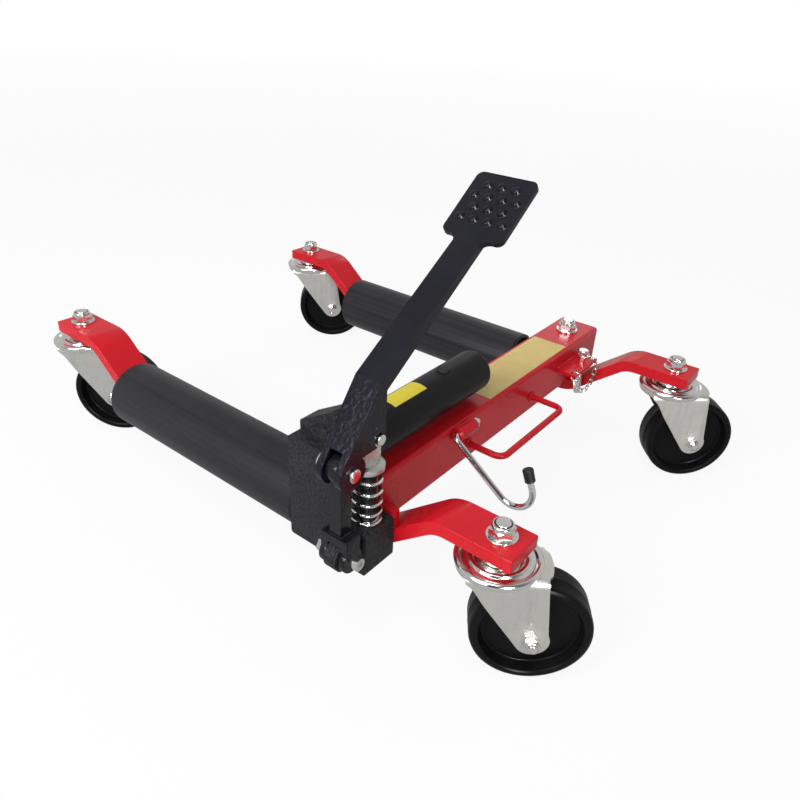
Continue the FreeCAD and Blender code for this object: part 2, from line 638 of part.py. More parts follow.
# Pump block: one casting with the plunger boss, the gabled tank seat and the link lug
block_outline = [
    ("boss_side", "block_floor"), ("main_far", "block_floor"), ("main_far", "block_top"),
    ("main_side", "block_top"), ("main_side", "boss_top"), ("boss_side", "boss_top"),
]
casting = prism("BlockCasting", "YZ_Plane", block_outline, "block_depth", ("block_front", "0", "0"),
                rounds=[([0, 1, 2, 5], "block_round")])
arch = cylinder("BlockArch", "arch_radius", "block_depth - arch_set_back",
                ("block_front + arch_set_back", "beam_y", "tank_height"), "X")
arch_room = box("BlockArchRoom", ("block_depth", "main_far - main_side", "2 * arch_radius"),
                ("block_front", "main_side", "block_top - arch_radius"))
seat = prism("BlockSeat", "YZ_Plane", [
    ("main_side", "boss_top"), ("main_far", "boss_top"), ("main_far", "seat_shoulder"),
    ("beam_y", "seat_peak"), ("main_side", "seat_side"),
], "block_depth - seat_set_back", ("block_front + seat_set_back", "0", "0"))
lug = prism("BlockLug", "XZ_Plane", [
    ("link_x", "link_foot - lug_radius"), ("block_front", "link_foot - lug_radius"),
    ("block_front", "link_foot + lug_radius"), ("link_x", "link_foot + lug_radius"),
], "lug_thick", ("0", "pump_y + lug_thick / 2", "0"))
lug_eye = cylinder("BlockLugEye", "lug_radius", "lug_thick",
                   ("link_x", "pump_y - lug_thick / 2", "link_foot"), "Y")
casting = joined("BlockBlank", [casting, seat, common("BlockRound", arch, arch_room), lug, lug_eye])
pump_bore = cylinder("PumpBore", "plunger_radius + running_fit", "pump_bore_depth",
                     ("plunger_x", "pump_y", "boss_top - pump_bore_depth"))
lug_hole = cylinder("LugHole", "link_pin + running_fit", "4 * lug_thick",
                    ("link_x", "pump_y - 2 * lug_thick", "link_foot"), "Y")
valve_hole = cylinder("ValveHole", "valve_stem + running_fit", "valve_length",
                      ("valve_x", "main_far - valve_length", "valve_height"), "Y")
part("pump_block", cut("PumpBlock", casting, [pump_bore, lug_hole, valve_hole]))
part("plunger_gland", turned("PlungerGland", [
    ("plunger_radius + running_fit", "0"), ("plunger_gland", "0"),
    ("plunger_gland", "plunger_gland_height"), ("plunger_radius + running_fit", "plunger_gland_height"),
], ("plunger_x", "pump_y", "boss_top")))

# Release valve screw on the far side of the block
valve = turned("Valve", [
    ("0", "valve_edge - valve_length"), ("valve_stem", "valve_edge - valve_length"),
    ("valve_stem", "seat_gap"), ("valve_radius - valve_edge", "seat_gap"),
    ("valve_radius", "seat_gap + valve_edge"), ("valve_radius", "valve_length - 3 * valve_edge"),
    ("valve_radius - 2 * valve_edge", "valve_length - valve_edge"), ("0", "valve_length - valve_edge"),
], ("valve_x", "main_far", "valve_height"), "Y")
part("release_valve", valve)

# End plate: welded to the inner tube and the near arm, and bolted to the block
plate_slope = "(arm_reach + bend_shift - %s) * tan(arm_angle * 1deg)"
plate_outline = [
    ("boss_side", "root_top + " + plate_slope % "(boss_side - near_y)"),
    ("near_y + arm_reach + bend_shift", "root_top"), ("main_far", "root_top"),
    ("main_far", "plate_top"), ("main_side", "plate_top"), ("main_side", "boss_top + plate_lip"),
    ("boss_side", "boss_top + plate_lip"),
]
plate = prism("PlateBlank", "YZ_Plane", plate_outline, "plate_thick", ("block_back", "0", "0"))
arm_copy = prism("PlateArmRoom", "YZ_Plane", arm_outline("front_root"), "arm_width", ("a_x", "near_y", "0"),
                 rounds=[([1, 5], "bend_radius + arm_thick"), ([2, 6], "bend_radius")], midplane=True)
part("end_plate", cut("EndPlate", plate, [arm_copy]))

# Oil tank over the beam, with its filler plug
tank = turned("TankBlank", [
    ("0", "0"), ("tank_radius", "0"), ("tank_radius", "tank_length - tank_round"),
    ("tank_radius - tank_round * 0.3", "tank_length - tank_round * 0.3"),
    ("tank_radius - tank_round", "tank_length"), ("0", "tank_length"),
    ("0", "tank_length - tank_wall"), ("tank_radius - tank_wall", "tank_length - tank_wall"),
    ("tank_radius - tank_wall", "tank_wall"), ("0", "tank_wall"),
], ("tank_x", "beam_y", "tank_height"), "X")
plug_seat = "tank_height + tank_radius - plug_sink"
plug_room = cylinder("PlugRoom", "plug_radius + running_fit", "tank_radius", ("plug_x", "beam_y", plug_seat))
plug_bore = cylinder("PlugBore", "plug_radius - plug_step", "tank_radius",
                     ("plug_x", "beam_y", "tank_height"))
part("oil_tank", cut("OilTank", tank, [plug_room, plug_bore]))
part("tank_plug", turned("TankPlug", [
    ("0", "-tank_wall"), ("plug_radius - plug_step - running_fit", "-tank_wall"),
    ("plug_radius - plug_step - running_fit", "0"), ("plug_radius", "0"), ("plug_radius", "plug_rise"),
    ("plug_radius - plug_edge", "plug_rise + plug_edge"), ("0", "plug_rise + plug_edge"),
], ("plug_x", "beam_y", plug_seat)))

# Link: rocks on the block's lug and carries the lever
link_bar = box("LinkBar", ("link_bar", "link_thick", "link_length - lug_radius - yoke_gap"),
               ("link_x - link_bar / 2", "pump_y - link_thick / 2", "link_foot + lug_radius + yoke_gap"))
link_top = cylinder("LinkTop", "link_eye", "link_thick",
                    ("link_x", "pump_y - link_thick / 2", "lever_z"), "Y")
link_yoke = box("LinkYoke", ("link_bar + 2 * yoke_gap", "2 * ear_outer", "lug_radius + yoke_rise"),
                ("link_x - link_bar / 2 - yoke_gap", "pump_y - ear_outer", "link_foot"))
link_ears = cylinder("LinkEars", "link_eye", "2 * ear_outer",
                     ("link_x", "pump_y - ear_outer", "link_foot"), "Y")
link_slot = box("LinkSlot", ("4 * link_eye", "2 * ear_inner", "lug_radius + 2 * link_eye + seat_gap * 2"),
                ("link_x - 2 * link_eye", "pump_y - ear_inner", "link_foot - 2 * link_eye"))
link_holes = [cylinder("LinkHole" + name, "link_pin + running_fit", "4 * ear_outer",
                       ("link_x", "pump_y - 2 * ear_outer", height), "Y")
              for name, height in (("Top", "lever_z"), ("Foot", "link_foot"))]
part("link", cut("Link", joined("LinkBlank", [link_bar, link_top, link_yoke, link_ears]),
                 [link_slot] + link_holes))
screw = cylinder("LinkScrewShank", "link_pin", "2 * ear_outer + screw_head_length",
                 ("link_x", "pump_y - ear_outer", "link_foot"), "Y")
screw_head = cylinder("LinkScrewHead", "screw_head", "screw_head_length",
                      ("link_x", "pump_y - ear_outer - screw_head_length", "link_foot"), "Y")
socket = hexagon("LinkScrewSocket", "screw_head", "screw_head_length / 2",
                 ("link_x", "pump_y - ear_outer - screw_head_length", "link_foot"), "Y")
screw = cut("LinkScrew", joined("LinkScrewBlank", [screw, screw_head]), [socket])
nut_spot = ("link_x", "pump_y + ear_outer", "link_foot")
blank = hexagon("LinkNutBlank", "link_nut_across", "link_nut_height", nut_spot, "Y")
bore = cylinder("LinkNutBore", "link_pin + running_fit", "link_nut_height", nut_spot, "Y")
part("link_screw", group("LinkScrewSet", [screw, cut("LinkNut", blank, [bore])]))

# Pedal lever: forked heel, cranked arm and a studded foot pad, cast in one
LEVER_AT = ("link_x", "pump_y", "lever_z")
heel_outline = [
    ("heel_x", "heel_z"), ("kink_x", "kink_z"), ("heel_back", "kink_z - web_thick"),
    ("heel_back", "plunger_lift"), ("plunger_reach - slot_radius * 0.7", "plunger_lift - slot_radius"),
    ("lever_heel * 0.7", "lever_heel * 0.7"),
]
cheeks = []
for name, face in (("Near", "-lever_width / 2 + cheek_thick"), ("Far", "lever_width / 2")):
    cheeks.append(prism("Cheek" + name, "XZ_Plane", heel_outline, "cheek_thick", ("0", face, "0")))
    cheeks.append(cylinder("CheekEye" + name, "lever_heel", "cheek_thick",
                           ("0", face + " - cheek_thick", "0"), "Y"))
heel_cos = "cos(heel_angle * 1deg)"
heel_sin = "sin(heel_angle * 1deg)"
web_outline = [
    ("heel_x + web_start * " + heel_cos, "heel_z + web_start * " + heel_sin), ("kink_x", "kink_z"),
    ("kink_x + web_thick * " + heel_sin, "kink_z - web_thick * " + heel_cos),
    ("heel_x + web_start * %s + web_thick * %s" % (heel_cos, heel_sin),
     "heel_z + web_start * %s - web_thick * %s" % (heel_sin, heel_cos)),
]
web = prism("LeverWeb", "XZ_Plane", web_outline, "lever_width", midplane=True)
lever_cos = "cos(lever_angle * 1deg)"
lever_sin = "sin(lever_angle * 1deg)"
shank_outline = [
    ("kink_x", "kink_z"), ("neck_x + neck_overlap * " + lever_cos, "neck_z + neck_overlap * " + lever_sin),
    ("neck_x + neck_overlap * %s + lever_thick * %s" % (lever_cos, lever_sin),
     "neck_z + neck_overlap * %s - lever_thick * %s" % (lever_sin, lever_cos)),
    ("kink_x + lever_thick * " + lever_sin, "kink_z - 2 * lever_thick * " + lever_cos),
]
shank = prism("LeverShank", "XZ_Plane", shank_outline, "lever_width - 1", midplane=True)
pad_turn = FreeCAD.Rotation(FreeCAD.Vector(0, 1, 0), -size("pad_angle"))
pad_outline = [
    ("pad_length", "-pad_width / 2"), ("pad_length", "pad_width / 2"),
    ("0", "pad_width / 2"), ("0", "lever_width / 2"), ("-pad_neck", "lever_width / 2"),
    ("-pad_neck", "-lever_width / 2"), ("0", "-lever_width / 2"), ("0", "-pad_width / 2"),
]
pad = prism("LeverPad", "XY_Plane", pad_outline, "pad_thick",
            rounds=[([0, 1, 2, 7], "pad_round"), ([3, 6], "pad_scallop")])
studs = []
for row in range(4):
    count = 3 + row % 2
    for column in range(count):
        stud = doc.addObject("Part::Sphere", "Stud%d_%d" % (row, column))
        bind(stud, "Radius", "stud_radius")
        stud.Angle1 = 0
        across = "(%d - %d) * stud_pitch / 2" % (2 * column + 1, count)
        along = "pad_length / 2 + (1.5 - %d) * stud_row + stud_offset" % row
        studs.append(put(stud, (along, across, "pad_thick - stud_radius + stud_rise")))
tread = joined("LeverTread", [pad] + studs)
pad_x = "neck_x + pad_thick * sin(pad_angle * 1deg)"
pad_z = "neck_z - pad_thick * cos(pad_angle * 1deg)"
put(tread, (pad_x, "0", pad_z), pad_turn)
pin_slot = cylinder("LeverSlot", "slot_radius", "2 * lever_width",
                    ("plunger_reach", "-lever_width", "plunger_lift"), "Y")
pin_hole = cylinder("LeverHole", "link_pin + running_fit", "2 * lever_width",
                    ("0", "-lever_width", "0"), "Y")
lever = cut("Lever", joined("LeverBlank", cheeks + [web, shank, tread]), [pin_slot, pin_hole])
part("pedal_lever", put(lever, LEVER_AT))
pin_shank = cylinder("LeverPinShank", "link_pin", "lever_width + pin_tail",
                     ("link_x", "pump_y - lever_width / 2", "lever_z"), "Y")
pin_head = cylinder("LeverPinHead", "screw_head", "pin_cap",
                    ("link_x", "pump_y - lever_width / 2 - pin_cap", "lever_z"), "Y")
clip_spot = ("link_x", "pump_y + lever_width / 2", "lever_z")
blank = cylinder("LeverPinClip", "clip_radius", "clip_thick", clip_spot, "Y")
bore = cylinder("LeverPinClipBore", "link_pin + running_fit", "clip_thick", clip_spot, "Y")
lever_pin = joined("LeverPin", [pin_shank, pin_head])
part("lever_pin", group("LeverPinSet", [lever_pin, cut("LeverClip", blank, [bore])]))

# Plunger with its spring collar and eye, and the pin that the lever's slots press on
rod = turned("PlungerRod", [
    ("0", "boss_top - plunger_tail"), ("plunger_radius", "boss_top - plunger_tail"),
    ("plunger_radius", "collar_floor"), ("collar_radius", "collar_floor"),
    ("collar_radius", "collar_floor + collar_thick - collar_edge"),
    ("collar_radius - 2 * collar_edge", "collar_floor + collar_thick"),
    ("0", "collar_floor + collar_thick"),
], ("plunger_x", "pump_y", "0"))
head = box("PlungerHead", ("2 * plunger_eye", "link_thick", "plunger_z - collar_floor - collar_thick / 2"),
           ("plunger_x - plunger_eye", "pump_y - link_thick / 2", "collar_floor + collar_thick / 2"))
eye = cylinder("PlungerEye", "plunger_eye", "link_thick",
               ("plunger_x", "pump_y - link_thick / 2", "plunger_z"), "Y")
eye_hole = cylinder("PlungerHole", "plunger_pin", "2 * link_thick",
                    ("plunger_x", "pump_y - link_thick", "plunger_z"), "Y")
part("plunger", cut("Plunger", joined("PlungerBlank", [rod, head, eye]), [eye_hole]))
part("plunger_pin", cylinder("PlungerPin", "plunger_pin - running_fit", "lever_width + 2 * pin_overhang",
                             ("plunger_x", "pump_y - lever_width / 2 - pin_overhang", "plunger_z"), "Y"))


def plunger_spring():
    """Open coil between the boss and the plunger's collar."""
    radius = size("spring_radius")
    wire = size("wire_radius")
    turns = int(size("spring_turns"))
    pitch = size("spring_length") / turns
    step = math.pi / 2
    edges = []
    for quarter in range(4 * turns):
        first = quarter * step
        last = first + step
        edges += biarc(helix_point(first, radius, pitch), helix_way(first, radius, pitch),
                       helix_point(last, radius, pitch), helix_way(last, radius, pitch))
    path = Part.Wire(edges)
    circle = Part.Circle(helix_point(0, radius, pitch), helix_way(0, radius, pitch), wire)
    coil = doc.addObject("Part::Feature", "PlungerSpring")
    coil.Shape = path.makePipeShell([Part.Wire(circle.toShape())], True, False)
    stride = 0.1
    half_turn = int(math.pi / stride)
    samples = [helix_point(i * stride, radius, pitch) for i in range(2 * turns * half_turn)]
    gaps = [spot.distanceToPoint(other)
            for i, spot in enumerate(samples) for other in samples[i + half_turn:]]
    print("spring self gap %.2f mm" % (min(gaps) - 2 * wire))
    print("spring volume ratio %.4f" % (coil.Shape.Volume / (math.pi * wire ** 2 * path.Length)))
    return coil


coil = plunger_spring()
put(coil, ("plunger_x", "pump_y", "boss_top + seat_gap + wire_radius"))
part("plunger_spring", coil)

# Carry handle: a bent rod welded to the beam's side
handle_points = [FreeCAD.Vector(end * size("handle_half"), -out * size("handle_reach"), 0)
                 for end, out in ((-1, 0), (-1, 1), (1, 1), (1, 0))]
handle = bent_rod("CarryHandle", handle_points, [size("handle_bend")] * 2, size("handle_rod"))
part("carry_handle", put(handle, ("0", "beam_side", "handle_height")))

# Pedal hook: a bent wire that swings in a tube lug on the beam's side
lug_tube = cylinder("HookLugTube", "hook_lug_radius", "hook_lug_length",
                    ("hook_x", "hook_y", "hook_height"), "X")
lug_weld = box("HookLugWeld", ("hook_lug_length", "hook_lug_radius", "hook_lug_radius"),
               ("hook_x", "hook_y", "hook_height - hook_lug_radius"))
lug_bore = cylinder("HookLugBore", "hook_rod + running_fit", "2 * hook_lug_length",
                    ("hook_x - hook_lug_length / 2", "hook_y", "hook_height"), "X")
part("hook_lug", cut("HookLug", joined("HookLugBlank", [lug_tube, lug_weld]), [lug_bore]))


def hook_line():
    """Corner points of the hook's wire about its pivot, and the way its tip points."""
    drop = math.radians(180 + size("hook_drop"))
    turn = math.radians(180 + size("hook_drop") - size("hook_turn"))
    shank_way = FreeCAD.Vector(0, math.cos(drop), math.sin(drop))
    tip_way = FreeCAD.Vector(0, math.cos(turn), math.sin(turn))
    reach = size("hook_curl") * math.tan(math.radians(size("hook_turn") / 2))
    far_end = FreeCAD.Vector(size("hook_lug_length") + size("hook_thread"), 0, 0)
    neck = FreeCAD.Vector(-size("hook_neck"), 0, 0)
    corner = neck + shank_way * (size("hook_shank") + reach)
    tip = corner + tip_way * (reach + size("hook_tip") - size("cap_length"))
    return [far_end, neck, corner, tip], tip_way


hook_points, tip_way = hook_line()
hook = bent_rod("Hook", hook_points, [size("hook_neck"), size("hook_curl")], size("hook_rod"))
part("pedal_hook", put(hook, ("hook_x", "hook_y", "hook_height")))
cap_turn = FreeCAD.Rotation(FreeCAD.Vector(0, 0, 1), tip_way)
cap = turned("HookCap", [
    ("0", "0"), ("hook_rod + running_fit", "0"), ("hook_rod + running_fit", "cap_floor - cap_length"),
    ("cap_radius", "cap_floor - cap_length"), ("cap_radius", "cap_floor - cap_edge"),
    ("cap_radius - cap_edge", "cap_floor"), ("0", "cap_floor"),
])
cap_place = hook_points[-1]
part("hook_cap", put(cap, ("hook_x + %.6f" % cap_place.x, "hook_y + %.6f" % cap_place.y,
                           "hook_height + %.6f" % cap_place.z), cap_turn))
nut_spot = ("hook_x + hook_lug_length + seat_gap", "hook_y", "hook_height")
blank = hexagon("HookNutBlank", "hook_nut_across", "hook_nut_height", nut_spot, "X")
bore = cylinder("HookNutBore", "hook_rod + running_fit", "hook_nut_height", nut_spot, "X")
part("hook_nut", cut("HookNut", blank, [bore]))

# Lock pin: a headed pin through a bracket on the beam, beside the far arm
plate = box("BracketPlate", ("bracket_tail + bracket_lead", "bracket_reach", "bracket_thick"),
            ("pin_x - bracket_tail", "beam_side - bracket_reach", "bracket_top - bracket_thick"))
pin_hole = cylinder("BracketHole", "pin_radius + running_fit", "4 * bracket_thick",
                    ("pin_x", "pin_y", "bracket_top - 3 * bracket_thick"))
eyelet_spot = ("eyelet_x", "beam_side - bracket_reach + eyelet_set", "bracket_top - 3 * bracket_thick")
ring_hole = cylinder("BracketEyelet", "eyelet_radius", "4 * bracket_thick", eyelet_spot)
part("pin_bracket", cut("PinBracket", plate, [pin_hole, ring_hole]))
part("lock_pin", turned("LockPin", [
    ("0", "pin_foot"), ("pin_radius - pin_edge", "pin_foot"), ("pin_radius", "pin_foot + pin_edge"),
    ("pin_radius", "pin_head_z"), ("pin_head_radius", "pin_head_z"),
    ("pin_head_radius", "pin_head_z + pin_head - pin_edge"),
    ("pin_head_radius - pin_edge", "pin_head_z + pin_head"),
    ("0", "pin_head_z + pin_head"),
], ("pin_x", "pin_y", "0")))
part("pin_ring", ring("PinRing", "ring_radius", "ring_wire", ("pin_x", "ring_y", "ring_z"), ALONG["Z"]))


def chain_route(inset):
    """The lanyard's line: off the pin's ring, down in a loop and up to the bracket's keeper ring."""
    start = FreeCAD.Vector(size("pin_x"), size("ring_y") - size("ring_radius") - inset, size("ring_z"))
    hang = size("keeper_z") - size("keeper_radius") - inset
    end = FreeCAD.Vector(size("eyelet_x"), size("keeper_y"), hang)
    front = size("beam_side") - size("bracket_reach") - size("chain_out")
    low = size("bracket_top") - size("chain_drop")
    span = start.x - end.x
    slack = size("chain_slack")
    points = [
        start,
        FreeCAD.Vector(start.x, front, start.z - 2 * slack),
        FreeCAD.Vector(start.x, front, (start.z + low) / 2),
        FreeCAD.Vector(start.x - span * 0.25, front, low + slack),
        FreeCAD.Vector(start.x - span * 0.6, front, low + slack / 3),
        FreeCAD.Vector(end.x, end.y - slack / 3, (end.z + low) / 2),
        end,
    ]
    line = Part.BSplineCurve()
    line.interpolate(points)
    return line


def lanyard_chain():
    """Links threaded through each other in turn, and the keeper ring in the bracket's eyelet."""
    wire = size("chain_wire")
    reach = size("link_across") / 2
    clear = size("seat_gap")
    line = chain_route(reach - wire - size("ring_wire") - clear)
    pitch = 2 * (reach - wire) - clear
    count = 2 * round((line.length() / pitch + 1) / 2)
    spots = line.discretize(Number=count)
    keeper_spot = ("eyelet_x", "keeper_y", "keeper_z")
    links = [ring("KeeperRing", "keeper_radius", "ring_wire", keeper_spot, ALONG["X"])]
    face = FreeCAD.Vector(1, 0, 0)
    for i, spot in enumerate(spots):
        way = (spots[min(i + 1, count - 1)] - spots[max(i - 1, 0)]).normalize()
        face = (face - way * face.dot(way)).normalize()
        flat = face if i % 2 == 0 else way.cross(face)
        turn = FreeCAD.Rotation(way.cross(flat), way, flat, "ZYX")
        low_face = ("0", "0", "-chain_wire / 2")
        blank = hexagon("LinkBlank%d" % i, "link_across", "chain_wire", low_face)
        room = hexagon("LinkRoom%d" % i, "link_across - 2 * chain_wire", "chain_wire", low_face)
        link = cut("ChainLink%d" % i, blank, [room])
        link.Placement = FreeCAD.Placement(spot, turn)
        links.append(link)
    return group("LanyardChain", links)


part("lanyard_chain", lanyard_chain())


def write_parts():
    """Check every object, then write each sub-part to its own file."""
    doc.recompute()
    faults = [item.Label for item in doc.Objects if "Invalid" in item.State or "Error" in item.State]
    for item in nodes:
        if item.Shape.isNull() or not item.Shape.isValid() or not item.Shape.Solids:
            faults.append(item.Label)
    if faults:
        raise RuntimeError("failed objects: " + ", ".join(faults))
    os.makedirs("parts", exist_ok=True)
    for item in nodes:
        item.Shape.exportStep("parts/%s.step" % item.Label)
    print("%d sub-parts, %d solids" % (len(nodes), sum(len(item.Shape.Solids) for item in nodes)))


write_parts()
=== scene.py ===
# %% [markdown]
# This lesson dresses a foot-pumped wheel dolly. The construction comes as a fixed frame: every solid sits
# at its real place in metres. We only look after the surfaces here, so each piece we make stands exactly
# where its solid is and moves with the same body.

# %% Load the frame
import json
import math

import bmesh
import bpy
from mathutils import Matrix, Vector


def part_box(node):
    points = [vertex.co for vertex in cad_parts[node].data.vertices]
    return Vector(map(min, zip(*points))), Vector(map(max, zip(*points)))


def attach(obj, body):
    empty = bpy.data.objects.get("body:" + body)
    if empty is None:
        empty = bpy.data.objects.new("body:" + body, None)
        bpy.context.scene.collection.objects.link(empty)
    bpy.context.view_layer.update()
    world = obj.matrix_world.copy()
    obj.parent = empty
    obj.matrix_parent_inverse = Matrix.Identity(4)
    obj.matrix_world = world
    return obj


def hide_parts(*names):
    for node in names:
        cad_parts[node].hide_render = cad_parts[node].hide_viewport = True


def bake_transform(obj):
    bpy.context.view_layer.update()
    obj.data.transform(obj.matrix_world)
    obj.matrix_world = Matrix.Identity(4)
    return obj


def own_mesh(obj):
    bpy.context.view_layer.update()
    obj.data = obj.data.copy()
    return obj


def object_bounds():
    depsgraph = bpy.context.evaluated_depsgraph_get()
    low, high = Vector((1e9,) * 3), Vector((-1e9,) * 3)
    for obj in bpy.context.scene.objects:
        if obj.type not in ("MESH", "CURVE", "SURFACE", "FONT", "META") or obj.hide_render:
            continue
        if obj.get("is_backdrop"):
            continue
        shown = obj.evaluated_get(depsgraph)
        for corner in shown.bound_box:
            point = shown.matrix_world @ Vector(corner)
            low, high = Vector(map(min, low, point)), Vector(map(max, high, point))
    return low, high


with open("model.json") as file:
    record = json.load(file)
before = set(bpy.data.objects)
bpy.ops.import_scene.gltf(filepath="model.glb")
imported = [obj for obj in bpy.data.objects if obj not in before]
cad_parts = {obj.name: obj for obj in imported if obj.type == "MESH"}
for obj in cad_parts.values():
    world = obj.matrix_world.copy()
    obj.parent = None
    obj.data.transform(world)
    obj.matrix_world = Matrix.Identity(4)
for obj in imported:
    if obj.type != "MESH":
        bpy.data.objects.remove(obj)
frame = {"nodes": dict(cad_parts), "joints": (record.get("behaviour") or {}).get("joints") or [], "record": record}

cad_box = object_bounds()
scene = bpy.context.scene
record = frame["record"]
nodes = frame["nodes"]
joints = {joint["name"]: joint for joint in frame["joints"]}
body_of = {node: body for body, members in record["behaviour"]["bodies"].items() for node in members}
slot_of = {item["node"]: item["material_slot"] for item in record["subparts"]}
MM = 0.001
UP = Vector((0, 0, 1))

# %% [markdown]
# The photograph was taken from the pump's corner, a little above knee height, looking down about thirty
# degrees. We write the camera as a place and three turns, because those are what a solved view gives, and
# build its axes by hand: right, up and backwards are the columns of its matrix. A constraint that aims at
# the middle would be shorter, but it would lose the small roll of the photograph.

# %% Camera
VIEW_HEADING = 0.632
VIEW_DIP = 0.515
VIEW_ROLL = 0.057
CAMERA_PLACE = Vector((-0.56748, -0.46959, 0.48971))
LENS = 31.94
SENSOR_WIDTH = 36
LENS_SHIFT = (-0.0113, -0.0075)
NEAR_CLIP = 0.01


def new_object(name, data):
    """An object in the scene that shows a mesh, a lamp or a camera."""
    item = bpy.data.objects.new(name, data)
    scene.collection.objects.link(item)
    return item


def camera_axes(heading, dip, roll):
    ahead = Vector((math.cos(heading) * math.cos(dip), math.sin(heading) * math.cos(dip), -math.sin(dip)))
    level = ahead.cross(UP).normalized()
    upright = level.cross(ahead)
    right = level * math.cos(roll) + upright * math.sin(roll)
    up = upright * math.cos(roll) - level * math.sin(roll)
    return Matrix((right, up, -ahead)).transposed()


camera = new_object("camera", bpy.data.cameras.new("camera"))
camera.data.lens = LENS
camera.data.sensor_width = SENSOR_WIDTH
camera.data.shift_x, camera.data.shift_y = LENS_SHIFT
camera.data.clip_start = NEAR_CLIP
turned = camera_axes(VIEW_HEADING, VIEW_DIP, VIEW_ROLL).to_4x4()
camera.matrix_world = Matrix.Translation(CAMERA_PLACE) @ turned
scene.camera = camera
scene.view_settings.view_transform = "Standard"
print("camera at", tuple(round(c, 3) for c in CAMERA_PLACE))

# %% [markdown]
# Every node tree below is written with a few small helpers. The first adds a node, sets its options and
# fills its sockets: a socket is linked and any other value is typed in. The others are the nodes that we
# need most.

# %% Node helpers


def add(tree, kind, sockets=None, **options):
    node = tree.nodes.new(kind)
    for name, value in options.items():
        setattr(node, name, value)
    for key, value in (sockets or {}).items():
        if isinstance(value, bpy.types.NodeSocket):
            tree.links.new(value, node.inputs[key])
        else:
            node.inputs[key].default_value = value
    return node


def math_node(tree, operation, first, second):
    node = add(tree, "ShaderNodeMath", {0: first, 1: second}, operation=operation)
    return node.outputs[0]


def mixed(tree, factor, first, second):
    node = add(tree, "ShaderNodeMix", {0: factor, 6: first, 7: second}, data_type="RGBA")
    return node.outputs[2]


def ranged(tree, value, low, high, to_low=0.0, to_high=1.0):
    """Stretch a value from one range to another."""
    node = add(tree, "ShaderNodeMapRange", {"Value": value, "From Min": low, "From Max": high,
                                            "To Min": to_low, "To Max": to_high})
    return node.outputs[0]


print("node helpers ready")

# %% [markdown]
# The stage is a white studio. The lamps light the object at a plain level, and the background is white
# only because the floor and the world answer camera rays with white. More light would whiten it too, but
# it would bleach the paint. In mirrors the floor and the world show about half as bright, and the world
# towards the camera is darker still, as a room behind a photographer is, so bright metal and black enamel
# have something dark to show. The strongest lamp that lights surfaces stands at the pump's side, which is
# the lit side in the photograph, and one in front only shows in mirrors: it draws highlights along
# rounded edges.

# %% World
WHITE = (1, 1, 1, 1)
LIGHT_LEVEL = 0.46
MIRROR_LEVEL = 0.5
ROOM_DARK = 0.06
ROOM_WAY = (-0.66, -0.6, 0.45)
ROOM_EDGE = (0.15, 0.85)


def seen_directly(tree):
    """One for rays that look straight at a surface, in a mirror or through glass."""
    path = add(tree, "ShaderNodeLightPath")
    both = math_node(tree, "MAXIMUM", path.outputs["Is Camera Ray"], path.outputs["Is Glossy Ray"])
    return math_node(tree, "MAXIMUM", both, path.outputs["Is Transmission Ray"]), path


def studio_world():
    world = bpy.data.worlds.new("studio")
    scene.world = world
    world.use_nodes = True
    tree = world.node_tree
    tree.nodes.clear()
    straight, path = seen_directly(tree)
    way = add(tree, "ShaderNodeTexCoord").outputs["Generated"]
    toward = add(tree, "ShaderNodeVectorMath", {0: way, 1: ROOM_WAY}, operation="DOT_PRODUCT")
    room = ranged(tree, toward.outputs["Value"], *ROOM_EDGE, MIRROR_LEVEL, ROOM_DARK)
    mirror = math_node(tree, "MAXIMUM", room, path.outputs["Is Camera Ray"])
    level = add(tree, "ShaderNodeMix", {0: straight, 2: LIGHT_LEVEL, 3: mirror}, data_type="FLOAT")
    background = add(tree, "ShaderNodeBackground", {"Color": WHITE, "Strength": level.outputs[0]})
    add(tree, "ShaderNodeOutputWorld", {"Surface": background.outputs[0]})


studio_world()
print("world at", LIGHT_LEVEL, "and in mirrors at", MIRROR_LEVEL)

# %% Floor
FLOOR_REACH = 60.0
FLOOR_MATTE = (0.85, 0.85, 0.85, 1)
FLOOR_WHITE = 0.9
SHADE_FROM = 0.35
SHADE_LEVEL = 0.4
WHITE_FROM = 1.2
WHITE_TO = 6.0


def studio_floor():
    mesh = bpy.data.meshes.new("floor")
    corners = [(x * FLOOR_REACH, y * FLOOR_REACH, 0) for x, y in ((-1, -1), (1, -1), (1, 1), (-1, 1))]
    mesh.from_pydata(corners, [], [(0, 1, 2, 3)])
    material = bpy.data.materials.new("floor_white")
    material.use_nodes = True
    tree = material.node_tree
    tree.nodes.clear()
    straight, path = seen_directly(tree)
    matte = add(tree, "ShaderNodeBsdfDiffuse", {"Color": FLOOR_MATTE})
    spot = add(tree, "ShaderNodeTexCoord").outputs["Object"]
    far = add(tree, "ShaderNodeVectorMath", {0: spot}, operation="LENGTH").outputs["Value"]
    mirror = ranged(tree, far, SHADE_FROM, WHITE_FROM, SHADE_LEVEL, MIRROR_LEVEL)
    level = math_node(tree, "MAXIMUM", path.outputs["Is Camera Ray"], mirror)
    white = add(tree, "ShaderNodeEmission", {"Color": WHITE, "Strength": level})
    fade = ranged(tree, far, WHITE_FROM, WHITE_TO, FLOOR_WHITE, 1.0)
    share = math_node(tree, "MULTIPLY", straight, fade)
    both = add(tree, "ShaderNodeMixShader", {0: share, 1: matte.outputs[0], 2: white.outputs[0]})
    add(tree, "ShaderNodeOutputMaterial", {"Surface": both.outputs[0]})
    mesh.materials.append(material)
    floor = new_object("floor", mesh)
    floor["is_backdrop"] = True


studio_floor()
print("floor reaches", FLOOR_REACH, "m each way")

